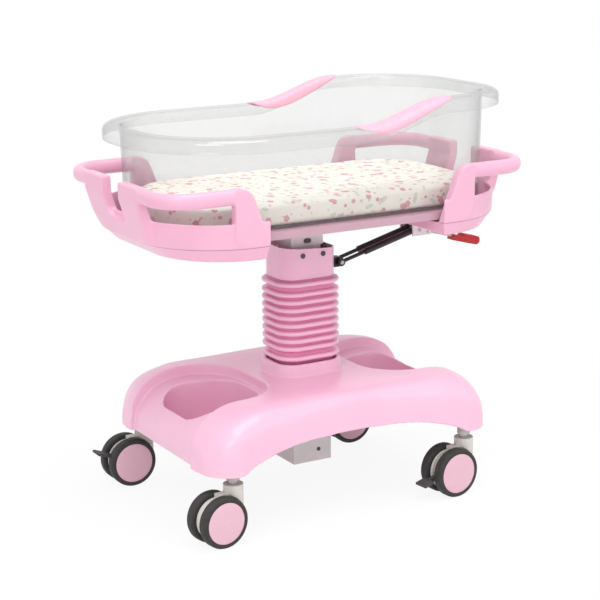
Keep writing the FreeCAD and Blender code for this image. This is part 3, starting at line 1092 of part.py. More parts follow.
def notch_tool():
    """The U-shaped notch between the posts."""
    half, low, radius = dim("notch_y"), dim("fold_z") + dim("notch_up"), dim("notch_r")
    start = dim("fold_x") - 2 * dim("block_t")
    a, b = Vector(start, -half, BIG), Vector(start, -half, low + radius)
    c, e = Vector(start, radius - half, low), Vector(start, half - radius, low)
    f, g = Vector(start, half, low + radius), Vector(start, half, BIG)
    near = arc_to(b, c, Vector(start, radius - half, low + radius), radius)
    far = arc_to(e, f, Vector(start, half - radius, low + radius), radius)
    lines = [Part.LineSegment(p, q).toShape() for p, q in ((a, b), (c, e), (f, g), (g, a))]
    return Part.Face(Part.Wire([lines[0], near, lines[1], far, lines[2], lines[3]])).extrude(Vector(BIG, 0,
                                                                                                    0))

def tray_bar(sign):
    """One handle bar: from a cheek along the side, round the corner and along the end to a post."""
    half_w, z, sink = dim("bar_w") / 2, dim("bar_z"), dim("bar_sink")
    reach, half = dim("bar_x") - half_w, dim("fold_y") + dim("bar_out") - half_w
    radius = dim("bar_round") - half_w
    start = Vector(dim("tray_in") + dim("cheek_l") - sink, half * sign, z)
    end = Vector(reach, (dim("post_out") - sink) * sign, z)
    before, after = Vector(reach - radius, half * sign, z), Vector(reach, (half - radius) * sign, z)
    corner = arc_to(before, after, Vector(reach - radius, (half - radius) * sign, z), radius)
    path = Part.Wire([Part.LineSegment(start, before).toShape(), corner,
                      Part.LineSegment(after, end).toShape()])
    oval = Part.Ellipse(Vector(), dim("bar_h") / 2, half_w).toShape()
    oval.Placement = Placement(start, Rotation(Vector(0, 0, 1), Vector(0, 1, 0), Vector(1, 0, 0), "ZXY"))
    return path.makePipeShell([Part.Wire([oval])], True, True)

def tray_rooms():
    """The rooms in a tray for the bed beam, a cross bar and the strut yoke."""
    gap, low, beam_low = dim("room_gap"), dim("tray_low"), dim("beam_low")
    tall, inner, up_x = dim("bed_low") - beam_low + 2 * gap, dim("tray_in"), dim("up_x")
    beam_y = dim("beam_y") + gap
    beam = Part.makeBox(up_x + dim("beam_over") + 2 * gap - inner + 2 * gap, 2 * beam_y, tall,
                        Vector(inner - 2 * gap, -beam_y, beam_low - gap))
    bar_y = dim("bed_y") - dim("rail_t") - dim("bar_gap") + gap
    bar = Part.makeBox(dim("bar_len") + 2 * gap, 2 * bar_y, tall,
                       Vector(dim("cross_at") - dim("bar_len") / 2 - gap, -bar_y, beam_low - gap / 2))
    yoke_y = dim("strut_gap") + dim("strut_tube_r") + dim("yoke_gap") + dim("yoke_t") + dim("pin_end") + gap
    yoke = Part.makeBox(dim("yoke_l") + 4 * gap, 2 * yoke_y, 2 * (beam_low - low) + gap,
                        Vector(up_x - dim("yoke_back") - 2 * gap, dim("strut_y") - yoke_y, low - gap))
    return [beam, bar, yoke]

def tray_screw_places():
    """The screws of one tray, in plan."""
    side = (dim("fold_x") - dim("side_screw_x"), dim("side_screw_y"))
    end = (dim("fold_x") - dim("end_screw_x"), dim("end_screw_y"))
    return [(x, y * sign) for x, y in (side, end) for sign in (-1, 1)]

def end_trays():
    """The two moulded end trays, mirror images of each other."""
    shape = tray_shell().fuse([tray_ring(), tray_bar(-1), tray_bar(1)])
    low, plate, places = dim("tray_low"), dim("bed_top") - dim("sheet_t"), tray_screw_places()
    foot = low + dim("tray_t") / 2
    bosses = [Part.makeCylinder(dim("tray_boss_r"), plate - foot, Vector(x, y, foot)) for x, y in places]
    holes = [Part.makeCylinder(dim("screw_r"), plate - low + 2 * OVER, Vector(x, y, low - OVER)) for x,
             y in places]
    shape = shape.cut(tray_rooms()).fuse(bosses).cut(holes).removeSplitter()
    part("tray_head", shaped("tray_head", shape))
    part("tray_foot", mirror("tray_foot", shaped("tray_foot_source", shape), X_AXIS))
    screws = []
    for i, (x, y) in enumerate(places):
        for sign in (-1, 1):
            tag = "tray_screw_%d_%d" % (i, sign + 1)
            spot = ("%g" % (x * sign), "%g" % y)
            shank = rod(tag + "_shank", "screw_r", "bed_top - sheet_t - tray_low - tray_screw_end",
                        spot + ("tray_low",))
            head_disc = rod(tag + "_head", "tray_head_r", "tray_head_h", spot + ("tray_low - tray_head_h",))
            screws.append(fuse(tag, shank, head_disc))
    part("tray_screws", group("tray_screws", *screws))

# ---------------------------------------------------------------- basin and mattress

def basin_outline(grow, z):
    return rounded(dim("wall_high_x") + grow, dim("wall_y") + grow, dim("wall_high_r") + grow, z,
                   dim("wall_low_x") + grow, dim("wall_low_r") + grow)

def rim_height(x):
    start = dim("rise_start")
    return dim("rim_low") + dim("rim_rise") * smooth_step(x, start, start + dim("rise_l"))

def under_rim(shift):
    """Everything below the rim's line, moved up or down by a shift."""
    half, steps = BIG / 2, 12
    places = [dim("rise_start") + dim("rise_l") * i / steps for i in range(steps + 1)]
    curve = Part.BSplineCurve()
    curve.interpolate([Vector(x, -half, rim_height(x) + shift) for x in places])
    low_z, high_z = dim("rim_low") + shift, dim("rim_high") + shift
    a, b = Vector(-BIG, -half, 0), Vector(-BIG, -half, low_z)
    c, e = Vector(BIG, -half, high_z), Vector(BIG, -half, 0)
    lines = [Part.LineSegment(a, b), Part.LineSegment(b, curve.StartPoint)]
    after = [Part.LineSegment(curve.EndPoint, c), Part.LineSegment(c, e), Part.LineSegment(e, a)]
    edges = [line.toShape() for line in lines] + [curve.toShape()] + [line.toShape() for line in after]
    return Part.Face(Part.Wire(edges)).extrude(Vector(0, 2 * half, 0))

def basin():
    """The clear basin: floor, wall, and a rim that turns down in a lip and rises at one end."""
    wall, low = dim("basin_t"), dim("bed_top") + dim("rest_gap")
    high = dim("rim_high") + dim("rim_grip_t")
    lean = dim("basin_in")
    outer = Part.makeLoft([basin_outline(-lean, low), basin_outline(0, high)], True, True)
    inner = Part.makeLoft([basin_outline(-lean - wall, low + wall), basin_outline(-wall, high + OVER)],
                          True, True)
    edge = dim("rim_w")
    disc = face_prism(basin_outline(edge, low), BIG)
    disc_in = face_prism(basin_outline(edge - wall, low), BIG)
    below, below_sheet, below_lip = under_rim(0), under_rim(-wall), under_rim(-dim("lip_h"))
    rim = disc.common(below).cut(below_lip)
    hollow = disc_in.common(below_sheet).cut(outer)
    shape = rim.cut(hollow).fuse(outer.common(below)).cut(inner)
    part("basin", shaped("basin", shape.removeSplitter()))
    grips = rim_grips(disc, below, below_lip)
    part("rim_grips", shaped("rim_grips", grips))

def rim_grips(disc, below, below_lip):
    """The two soft grips that sit over the rim's slopes."""
    thick, hem, lip = dim("rim_grip_t"), dim("grip_hem"), dim("lip_h")
    over = face_prism(basin_outline(dim("rim_w") + thick, dim("bed_top")), BIG).common(under_rim(thick))
    start, end = dim("grip_start"), dim("grip_start") + dim("grip_long")
    low, high = dim("rim_low"), dim("rim_high")
    slab = side_prism([(start, low - thick), (start + dim("grip_lean_low"), low - lip - hem),
                       (end - dim("grip_lean_high"), high - lip - 2 * hem), (end, high - thick),
                       (end - dim("grip_cut"), BIG), (start + dim("grip_cut") / 2, BIG)], BIG)
    inner = face_prism(rounded(BIG, dim("wall_y") + dim("basin_t"), thick, 0), BIG)
    rim = [disc.common(below), under_rim(-lip - hem)]
    band = over.common(slab).cut([inner] + rim)
    return band.cut(face_prism(basin_outline(dim("rim_w"), 0), BIG).common(below_lip))

def mattress():
    """The mattress, loose in the basin."""
    gap = dim("pad_gap")
    low = dim("bed_top") + dim("basin_t") + 2 * dim("rest_gap")
    inset = -dim("basin_t") - dim("basin_in") - gap
    part("mattress", shaped("mattress", face_prism(basin_outline(inset, low), dim("pad_h"))))

def check():
    """Stops with a message if anything in the document failed."""
    doc.recompute()
    for obj in doc.Objects:
        bad = [state for state in obj.State if state in ("Invalid", "Error")]
        if bad:
            raise RuntimeError("%s: %s" % (obj.Name, bad))
    for obj in PARTS:
        if obj.Shape.isNull() or not obj.Shape.isValid():
            raise RuntimeError("%s has no valid shape" % obj.Label)

base_cover()
base_rails()
base_cross_frame()
lift_housing()
caster_stems()
caster("caster_foot_near", -1, -1, dim("swivel_fl"))
caster("caster_head_near", 1, -1, dim("swivel_fr"), "pedal_down")
caster("caster_foot_far", -1, 1, 0.0, "pedal_up")
caster("caster_head_far", 1, 1, 0.0)
column()
bellows()
column_cover()
column_head()
strut_bracket()
bed_bracket()
bed_frame()
bed_platform()
strut_yoke()
struts()
lever()
end_trays()
basin()
mattress()
check()
os.makedirs("parts", exist_ok=True)
for sub_part in PARTS:
    sub_part.Shape.exportStep("parts/%s.step" % sub_part.Label)
    print(sub_part.Label, len(sub_part.Shape.Solids), round(sub_part.Shape.Volume))
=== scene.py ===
import bpy
import bmesh
import math
import random
from mathutils import Matrix, Vector


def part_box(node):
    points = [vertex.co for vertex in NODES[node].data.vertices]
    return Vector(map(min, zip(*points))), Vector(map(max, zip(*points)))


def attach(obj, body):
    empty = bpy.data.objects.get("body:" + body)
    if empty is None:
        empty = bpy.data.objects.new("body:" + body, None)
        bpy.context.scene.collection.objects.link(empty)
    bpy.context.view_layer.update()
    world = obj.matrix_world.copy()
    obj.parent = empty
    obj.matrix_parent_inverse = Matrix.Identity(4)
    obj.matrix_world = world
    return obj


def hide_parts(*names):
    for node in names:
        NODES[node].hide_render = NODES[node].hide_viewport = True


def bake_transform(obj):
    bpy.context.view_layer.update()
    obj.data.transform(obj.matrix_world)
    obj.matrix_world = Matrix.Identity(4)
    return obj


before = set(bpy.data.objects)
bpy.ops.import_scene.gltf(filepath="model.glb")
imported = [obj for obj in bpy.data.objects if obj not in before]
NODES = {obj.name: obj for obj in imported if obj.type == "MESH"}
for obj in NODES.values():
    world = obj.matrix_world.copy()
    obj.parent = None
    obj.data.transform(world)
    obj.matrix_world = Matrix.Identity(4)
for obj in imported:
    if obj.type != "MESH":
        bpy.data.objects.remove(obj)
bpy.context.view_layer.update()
MM = 0.001

# ---------------------------------------------------------------- colours, as they look in plain light, with painted shade in some

PINK = (0.952, 0.748, 0.842)
# the trays' pink is darker than PINK partly as painted shade on the trays' sides
TRAY_PINK_SHADED = (0.928, 0.695, 0.795)
# a deep pink: painted shade on the bellows' sleeve between the ribs, and the deep end of its colour clouds
PINK_DEEP_AND_SHADE = (0.875, 0.520, 0.675)
PINK_GRIP = (0.945, 0.715, 0.790)
DISC_PINK = (0.885, 0.715, 0.775)
CREAM = (0.985, 0.968, 0.925)
ROSE = (0.835, 0.450, 0.540)
ROSE_PALE = (0.930, 0.720, 0.750)
LEAF = (0.800, 0.850, 0.760)
TYRE = (0.220, 0.213, 0.210)
WARM_GREY = (0.845, 0.832, 0.800)
BRACKET = (0.900, 0.870, 0.875)
FRAME_GREY = (0.760, 0.750, 0.740)
RAIL_PINK = (0.760, 0.610, 0.670)
ZINC = (0.760, 0.755, 0.750)
BLACK = (0.150, 0.115, 0.130)
DARK = (0.300, 0.290, 0.295)
RED = (0.730, 0.030, 0.090)
WHITE = (0.930, 0.930, 0.920)


def linear(colour):
    """The linear values of a colour that is written as it looks."""
    parts = [c / 12.92 if c <= 0.04045 else ((c + 0.055) / 1.055) ** 2.4 for c in colour]
    return (parts[0], parts[1], parts[2], 1.0)


def darker(colour, share):
    return tuple(c * share for c in colour)


# ---------------------------------------------------------------- material helpers

class Shader:
    """A material under construction, with short ways to add nodes."""

    def __init__(self, name):
        self.material = bpy.data.materials.new(name)
        self.material.use_nodes = True
        self.tree = self.material.node_tree
        self.tree.nodes.clear()
        self.output = self.tree.nodes.new("ShaderNodeOutputMaterial")
        self.bsdf = self.tree.nodes.new("ShaderNodeBsdfPrincipled")
        self.join(self.bsdf.outputs[0], self.output.inputs["Surface"])
        self.place = self.node("ShaderNodeTexCoord").outputs["Object"]

    def node(self, kind, **settings):
        made = self.tree.nodes.new(kind)
        for key, value in settings.items():
            setattr(made, key, value)
        return made

    def join(self, source, target):
        self.tree.links.new(source, target)

    def feed(self, socket, value):
        """Gives an input socket a link or a plain value."""
        if isinstance(value, bpy.types.NodeSocket):
            self.join(value, socket)
        else:
            socket.default_value = value

    def math(self, operation, first, second=0.0):
        made = self.node("ShaderNodeMath", operation=operation)
        for socket, value in zip(made.inputs, (first, second)):
            self.feed(socket, value)
        return made.outputs[0]

    def noise(self, scale, detail=3.0, vector=None):
        made = self.node("ShaderNodeTexNoise")
        self.join(vector or self.place, made.inputs["Vector"])
        made.inputs["Scale"].default_value = scale
        made.inputs["Detail"].default_value = detail
        made.inputs["Roughness"].default_value = 0.55
        return made.outputs["Fac"]

    def ramp(self, value, low, high, out_low=0.0, out_high=1.0):
        made = self.node("ShaderNodeMapRange", clamp=True)
        for socket, number in zip(made.inputs, (value, low, high, out_low, out_high)):
            self.feed(socket, number)
        return made.outputs[0]

    def blend(self, share, first, second):
        """A colour between two colours."""
        made = self.node("ShaderNodeMix", data_type="RGBA")
        self.feed(made.inputs[0], share)
        for socket, value in ((made.inputs[6], first), (made.inputs[7], second)):
            self.feed(socket, linear(value) if isinstance(value, tuple) and len(value) == 3 else value)
        return made.outputs[2]

    def between(self, share, first, second):
        """A number between two numbers."""
        made = self.node("ShaderNodeMix", data_type="FLOAT")
        for index, value in ((0, share), (2, first), (3, second)):
            self.feed(made.inputs[index], value)
        return made.outputs[0]

    def split(self, vector):
        made = self.node("ShaderNodeSeparateXYZ")
        self.join(vector, made.inputs[0])
        return made.outputs[0], made.outputs[1], made.outputs[2]

    def merge(self, x, y, z=0.0):
        made = self.node("ShaderNodeCombineXYZ")
        for socket, value in zip(made.inputs, (x, y, z)):
            self.feed(socket, value)
        return made.outputs[0]

    def bump(self, height, depth, strength=1.0):
        made = self.node("ShaderNodeBump")
        made.inputs["Strength"].default_value = strength
        made.inputs["Distance"].default_value = depth
        self.join(height, made.inputs["Height"])
        self.join(made.outputs[0], self.bsdf.inputs["Normal"])

    def set(self, **values):
        """Sets inputs of the main shader by short names."""
        names = {"colour": "Base Color", "rough": "Roughness", "metal": "Metallic", "coat": "Coat Weight",
                 "coat_rough": "Coat Roughness", "sheen": "Sheen Weight", "specular": "Specular IOR Level"}
        for key, value in values.items():
            self.feed(self.bsdf.inputs[names[key]], value)


def moulded(name, colour, gloss=0.29, seam=None):
    """Moulded plastic: a soft gloss, a faint orange peel and slight clouds in the colour.

    The gloss stays above 0.28, because a roughness that varies across about 0.27 renders in patches.
    """
    shader = Shader(name)
    clouds = shader.ramp(shader.noise(7.0, 4.0), 0.3, 0.7)
    base = shader.blend(clouds, colour, darker(colour, 0.975))
    if seam is not None:
        height = shader.split(shader.place)[2]
        off = shader.math("ABSOLUTE", shader.math("SUBTRACT", height, seam))
        line = shader.ramp(off, SEAM_HALF, SEAM_HALF + SEAM_SOFT, 1.0, 0.0)
        base = shader.blend(line, base, darker(colour, 0.72))
    scuffs = shader.ramp(shader.noise(45.0, 5.0), 0.45, 0.75)
    rough = shader.math("ADD", shader.math("MULTIPLY", scuffs, 0.025), gloss)
    shader.set(colour=base, rough=rough, coat=0.10, coat_rough=0.16, specular=0.5)
    shader.bump(shader.noise(240.0, 2.0), 0.01 * MM)
    return shader.material


def painted(name, colour, gloss=0.42):
    """Powder-coated metal."""
    shader = Shader(name)
    wear = shader.ramp(shader.noise(24.0, 5.0), 0.42, 0.7)
    base = shader.blend(wear, colour, darker(colour, 0.975))
    rough = shader.math("ADD", shader.math("MULTIPLY", wear, 0.08), gloss)
    shader.set(colour=base, rough=rough, specular=0.5)
    shader.bump(shader.noise(1500.0, 2.0), 0.03 * MM)
    return shader.material


def steel(name, colour):
    """Bright zinc-plated steel with fine brushing."""
    shader = Shader(name)
    x, y, z = shader.split(shader.place)
    streaks = shader.noise(900.0, 2.0, shader.merge(x, shader.math("MULTIPLY", y, 0.2), z))
    base = shader.blend(shader.ramp(streaks, 0.35, 0.65), colour, darker(colour, 0.86))
    rough = shader.ramp(streaks, 0.2, 0.8, 0.29, 0.42)
    shader.set(colour=base, rough=rough, metal=0.85)
    shader.bump(streaks, 0.01 * MM)
    return shader.material


def rubber(name, colour, gloss=0.62, dust=0.92):
    """Dull soft rubber, a little dusty."""
    shader = Shader(name)
    specks = shader.ramp(shader.noise(85.0, 6.0), 0.45, 0.72)
    base = shader.blend(specks, colour, darker(colour, dust))
    shader.set(colour=base, rough=shader.ramp(specks, 0.0, 1.0, gloss, gloss + 0.12), specular=0.35)
    shader.bump(shader.noise(900.0, 3.0), 0.05 * MM)
    return shader.material


def clear_plastic(name):
    """Clear plastic shell: mostly see-through, greyer and more mirror-like at a glancing angle."""
    shader = Shader(name)
    layer = shader.node("ShaderNodeLayerWeight")
    layer.inputs["Blend"].default_value = 0.5
    slant = layer.outputs["Facing"]
    tint = shader.blend(shader.math("POWER", slant, 3.0), (0.984, 0.985, 0.984), (0.890, 0.893, 0.893))
    through = shader.node("ShaderNodeBsdfTransparent")
    shader.join(tint, through.inputs[0])
    haze = shader.ramp(shader.noise(30.0, 4.0), 0.3, 0.8, 0.035, 0.060)
    veil = shader.math("ADD", haze, shader.math("MULTIPLY", shader.math("POWER", slant, 2.5), 0.16))
    shader.set(colour=linear((0.90, 0.90, 0.90)), rough=shader.ramp(shader.noise(60.0), 0.3, 0.7, 0.06, 0.12),
               specular=0.5)
    mirror = shader.node("ShaderNodeBsdfGlossy")
    mirror.inputs["Roughness"].default_value = 0.06
    gloss = shader.math("ADD", shader.math("MULTIPLY", shader.math("POWER", slant, 5.0), 0.55), 0.04)
    body = shader.node("ShaderNodeMixShader")
    shader.join(veil, body.inputs[0])
    shader.join(through.outputs[0], body.inputs[1])
    shader.join(shader.bsdf.outputs[0], body.inputs[2])
    whole = shader.node("ShaderNodeMixShader")
    shader.join(gloss, whole.inputs[0])
    shader.join(body.outputs[0], whole.inputs[1])
    shader.join(mirror.outputs[0], whole.inputs[2])
    shader.join(whole.outputs[0], shader.output.inputs["Surface"])
    return shader.material


# scale of the scatter, its shift, a motif's size and the share of motifs left out
LEAVES = ((31.0, 0.31, 6.2 * MM, 0.50), (43.0, 0.53, 4.2 * MM, 0.55))
BUDS = (47.0, 0.87, 3.4 * MM, 0.42)
ROSES = ((39.0, 1.37, 4.6 * MM, 0.50), (29.0, 0.0, 7.2 * MM, 0.42))
THREAD_PITCH = 1.1 * MM


def flower_cells(shader, plane, scale, shift, petals, size, depth):
    """Scattered motifs: the share of a motif's reach, the turn round it, and its random number."""
    moved = shader.node("ShaderNodeVectorMath", operation="ADD")
    shader.join(plane, moved.inputs[0])
    moved.inputs[1].default_value = (shift, shift * 0.7, 0.0)
    cells = shader.node("ShaderNodeTexVoronoi", voronoi_dimensions="2D")
    shader.join(moved.outputs[0], cells.inputs["Vector"])
    cells.inputs["Scale"].default_value = scale
    cells.inputs["Randomness"].default_value = 0.8
    offset = shader.node("ShaderNodeVectorMath", operation="SUBTRACT")
    shader.join(moved.outputs[0], offset.inputs[0])
    shader.join(cells.outputs["Position"], offset.inputs[1])
    dx, dy, _ = shader.split(offset.outputs[0])
    red, green, blue = shader.split(cells.outputs["Color"])
    turn = shader.math("ADD", shader.math("ARCTAN2", dy, dx), shader.math("MULTIPLY", red, 6.283))
    wave = shader.math("MULTIPLY", shader.math("SINE", shader.math("MULTIPLY", turn, petals)), depth)
    reach = shader.node("ShaderNodeVectorMath", operation="LENGTH")
    shader.join(offset.outputs[0], reach.inputs[0])
    radius = shader.math("MULTIPLY", reach.outputs["Value"], shader.math("ADD", wave, 1.0))
    own_size = shader.math("MULTIPLY", shader.math("ADD", shader.math("MULTIPLY", green, 0.7), 0.5), size)
    share = shader.math("DIVIDE", radius, own_size)
    return share, turn, blue


def printed_cotton(name):
    """Cream cotton with a scatter of small roses and leaves, and a plain weave."""
    shader = Shader(name)
    x, y, z = shader.split(shader.place)
    normal = shader.node("ShaderNodeNewGeometry").outputs["Normal"]
    nx, ny, nz = shader.split(normal)
    on_side = shader.math("LESS_THAN", shader.math("ABSOLUTE", nz), 0.6)
    on_end = shader.math("GREATER_THAN", shader.math("ABSOLUTE", nx), shader.math("ABSOLUTE", ny))
    along = shader.between(shader.math("MULTIPLY", on_side, on_end), x, y)
    plane = shader.merge(along, shader.between(on_side, y, z))
    clouds = shader.ramp(shader.noise(12.0, 3.0), 0.3, 0.7)
    cloth = shader.blend(clouds, CREAM, darker(CREAM, 0.975))
    for scale, shift, size, rarity in LEAVES:
        leaf, _, leaf_pick = flower_cells(shader, plane, scale, shift, 2.0, size, 0.42)
        leaf_mask = shader.math("MULTIPLY", shader.ramp(leaf, 0.85, 1.0, 1.0, 0.0),
                                shader.ramp(leaf_pick, rarity, rarity + 0.01))
        cloth = shader.blend(shader.math("MULTIPLY", leaf_mask, 0.75), cloth, LEAF)
    scale, shift, size, rarity = BUDS
    bud, _, bud_pick = flower_cells(shader, plane, scale, shift, 3.0, size, 0.20)
    bud_mask = shader.math("MULTIPLY", shader.ramp(bud, 0.8, 1.0, 1.0, 0.0),
                           shader.ramp(bud_pick, rarity, rarity + 0.01))
    cloth = shader.blend(shader.math("MULTIPLY", bud_mask, 0.85), cloth, ROSE_PALE)
    for scale, shift, size, rarity in ROSES:
        rose, turn, pick = flower_cells(shader, plane, scale, shift, 5.0, size, 0.13)
        spiral = shader.math("SINE", shader.math("ADD", shader.math("MULTIPLY", rose, 14.0), turn))
        petal = shader.blend(shader.ramp(spiral, -0.4, 0.7), ROSE, ROSE_PALE)
        petal = shader.blend(shader.ramp(rose, 0.74, 0.94), petal, ROSE)
        mask = shader.math("MULTIPLY", shader.ramp(rose, 0.93, 1.03, 1.0, 0.0),
                           shader.ramp(pick, rarity, rarity + 0.01))
        cloth = shader.blend(shader.math("MULTIPLY", mask, 0.92), cloth, petal)
    threads = []
    for axis in (x, y, z):
        threads.append(shader.math("SINE", shader.math("MULTIPLY", axis, 2 * math.pi / THREAD_PITCH)))
    weave = shader.math("MULTIPLY", threads[0], shader.math("MULTIPLY", threads[1], threads[2]))
    shader.set(colour=cloth, rough=0.86, sheen=0.18, specular=0.25)
    creases = shader.math("MULTIPLY", shader.noise(40.0, 4.0), 3.0)
    shader.bump(shader.math("ADD", weave, creases), 0.18 * MM, 0.6)
    return shader.material


# ---------------------------------------------------------------- mesh helpers

def finish_mesh(piece, material):
    """Gives a piece one material and smooth shading."""
    piece.data.materials.clear()
    piece.data.materials.append(material)
    for polygon in piece.data.polygons:
        polygon.use_smooth = True


def new_object(name, mesh, body, material):
    """A smooth-shaded piece that rides on a body, or on none where the body is None."""
    piece = bpy.data.objects.new(name, mesh)
    bpy.context.scene.collection.objects.link(piece)
    finish_mesh(piece, material)
    if body is not None:
        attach(piece, body)
    return piece


def apply_modifiers(piece):
    """Bakes the modifiers into the mesh."""
    bpy.context.view_layer.update()
    graph = bpy.context.evaluated_depsgraph_get()
    baked = bpy.data.meshes.new_from_object(piece.evaluated_get(graph))
    piece.modifiers.clear()
    piece.data = baked


def mesh_of(work, name):
    """Turns a finished bmesh into a mesh."""
    mesh = bpy.data.meshes.new(name)
    work.to_mesh(mesh)
    work.free()
    return mesh


def remesh(piece, voxel):
    modifier = piece.modifiers.new("remesh", "REMESH")
    modifier.mode = "VOXEL"
    modifier.voxel_size = voxel
    apply_modifiers(piece)


def welded_copy(node):
    """The CAD node's mesh with its double points joined."""
    mesh = NODES[node].data.copy()
    work = bmesh.new()
    work.from_mesh(mesh)
    bmesh.ops.remove_doubles(work, verts=work.verts, dist=0.02 * MM)
    work.to_mesh(mesh)
    work.free()
    return mesh


def soft_edged(name, node, body, material, voxel, rounds, foot=None):
    """A moulded copy of a CAD node with rounded edges, and trimmed level at foot where that is given."""
    piece = new_object(name, welded_copy(node), body, material)
    remesh(piece, voxel)
    if foot is not None:
        for vertex in piece.data.vertices:
            vertex.co.z = max(vertex.co.z, foot)
    smooth = piece.modifiers.new("smooth", "SMOOTH")
    smooth.factor = 0.5
    smooth.iterations = rounds
    apply_modifiers(piece)
    finish_mesh(piece, material)
    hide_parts(node)


def finish_node(node, material):
    """Gives a CAD node a better material."""
    piece = NODES[node]
    if not piece.material_slots:
        piece.data.materials.append(material)
    for slot in piece.material_slots:
        slot.material = material


# ---------------------------------------------------------------- the basin

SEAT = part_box("basin")[0].z
WALL_LOW_X, WALL_HIGH_X, WALL_Y = 355 * MM, 366 * MM, 199 * MM
WALL_LOW_R, WALL_HIGH_R = 172 * MM, 140 * MM
SHELL_T, FLOOR_IN = 3 * MM, 5 * MM
RIM_W, LIP_H = 33 * MM, 29 * MM
FOOT_R, EDGE_R, LIP_R = 14 * MM, 7 * MM, 13 * MM
RIM_LOW, RIM_HIGH = 765 * MM, 808 * MM
RISE_START, RISE_END = 25 * MM, 205 * MM


def smooth_step(value, start, end):
    share = min(1.0, max(0.0, (value - start) / (end - start)))
    return share * share * (3 - 2 * share)


def rim_height(x):
    return RIM_LOW + (RIM_HIGH - RIM_LOW) * smooth_step(x, RISE_START, RISE_END)


def basin_outline(step):
    """Points and outward directions round the basin's wall, from the middle of the -Y side on."""
    corners = [(1, -1, WALL_HIGH_X, WALL_HIGH_R), (1, 1, WALL_HIGH_X, WALL_HIGH_R),
               (-1, 1, WALL_LOW_X, WALL_LOW_R), (-1, -1, WALL_LOW_X, WALL_LOW_R)]
    points = []
    last = Vector((0.0, -WALL_Y))
    for i, (side_x, side_y, reach, radius) in enumerate(corners):
        centre = Vector((side_x * (reach - radius), side_y * (WALL_Y - radius)))
        first_angle = -math.pi / 2 + i * math.pi / 2
        start = centre + radius * Vector((math.cos(first_angle), math.sin(first_angle)))
        outward = Vector((math.cos(first_angle), math.sin(first_angle)))
        runs = max(1, int((start - last).length / step))
        for k in range(runs):
            points.append((last.lerp(start, k / runs), outward))
        turns = max(4, int(radius * math.pi / 2 / step))
        for k in range(turns):
            angle = first_angle + math.pi / 2 * k / turns
            outward_k = Vector((math.cos(angle), math.sin(angle)))
            points.append((centre + radius * outward_k, outward_k))
        last = centre + radius * Vector((-math.sin(first_angle), math.cos(first_angle)))
    runs = max(1, int((Vector((0.0, -WALL_Y)) - last).length / step))
    for k in range(runs):
        points.append((last.lerp(Vector((0.0, -WALL_Y)), k / runs), Vector((0.0, -1.0))))
    return points


def arc_points(centre, radius, first, last, count):
    """Points of an arc in a profile's plane, with angles in degrees."""
    angles = [math.radians(first + (last - first) * i / (count - 1)) for i in range(count)]
    return [(centre[0] + radius * math.cos(a), centre[1] + radius * math.sin(a)) for a in angles]


def swept_ring(outline, profile_at, closed_profile):
    """A mesh from a profile carried round an outline."""
    work = bmesh.new()
    rings = []
    for point, outward in outline:
        ring = []
        for offset, height in profile_at(point.x):
            place = point + outward * offset
            ring.append(work.verts.new((place.x, place.y, height)))
        rings.append(ring)
    count = len(rings[0])
    last = count if closed_profile else count - 1
    for i, ring in enumerate(rings):
        following = rings[(i + 1) % len(rings)]
        for k in range(last):
            j = (k + 1) % count
            work.faces.new((ring[k], following[k], following[j], ring[j]))
    return work, rings


def basin_profile(x):
    """The shell's cross-section from the middle of its floor, up the outside and down the inside."""
    top = rim_height(x)
    outside = arc_points((-FLOOR_IN - FOOT_R, SEAT + FOOT_R), FOOT_R, -90, 0, 6)
    outside += [(-FLOOR_IN * (1 - t), SEAT + (top - SEAT) * t) for t in (0.25, 0.5, 0.75, 0.86)]
    outside += [(-0.2 * MM, top - 2 * EDGE_R)]
    under = arc_points((EDGE_R + SHELL_T * 0.2, top - EDGE_R - SHELL_T), EDGE_R, 170, 92, 4)
    under += arc_points((RIM_W - LIP_R, top - LIP_R - 1.5 * MM), LIP_R - SHELL_T, 84, 0, 6)
    under += [(RIM_W - SHELL_T + 0.3 * MM, top - LIP_H + 1 * MM)]
    lip = [(RIM_W - SHELL_T + 1 * MM, top - LIP_H), (RIM_W - 0.6 * MM, top - LIP_H + 0.4 * MM)]
    over = arc_points((RIM_W - LIP_R, top - LIP_R - 1.2 * MM), LIP_R, 0, 84, 7)
    over += arc_points((EDGE_R - SHELL_T, top - EDGE_R), EDGE_R, 88, 178, 6)
    inside = [(-SHELL_T - FLOOR_IN * (1 - t), SEAT + (top - SEAT) * t) for t in (0.86, 0.75, 0.5, 0.25)]
    inside += arc_points((-FLOOR_IN - FOOT_R, SEAT + FOOT_R), FOOT_R - SHELL_T, 0, -90, 6)
    return outside + under + lip + over + inside


def make_basin(material):
    """The clear shell: its profile carried round the outline, and a floor closed on both faces."""
    work, rings = swept_ring(basin_outline(9 * MM), basin_profile, False)
    for place, flip in ((0, True), (-1, False)):
        loop = [ring[place] for ring in rings]
        work.faces.new(list(reversed(loop)) if flip else loop)
    bmesh.ops.recalc_face_normals(work, faces=work.faces)
    piece = new_object("basin_shell", mesh_of(work, "basin_shell"), "basin", material)
    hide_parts("basin")


GRIP_START, GRIP_END, GRIP_T, GRIP_DOWN = 2 * MM, 213 * MM, 2.0 * MM, 24 * MM
GRIP_STEPS, GRIP_ACROSS = 60, 28


def grip_path(top):
    """The way over the rim at one place, from the lip's outer edge to the inside of the wall."""
    lip = arc_points((RIM_W - LIP_R, top - LIP_R - 1.2 * MM), LIP_R, 0, 90, 9)
    edge = arc_points((EDGE_R - SHELL_T, top - EDGE_R), EDGE_R, 90, 180, 7)
    return [(RIM_W - 0.6 * MM, top - LIP_H + 1.0 * MM)] + lip + edge + [(-SHELL_T, top - GRIP_DOWN)]


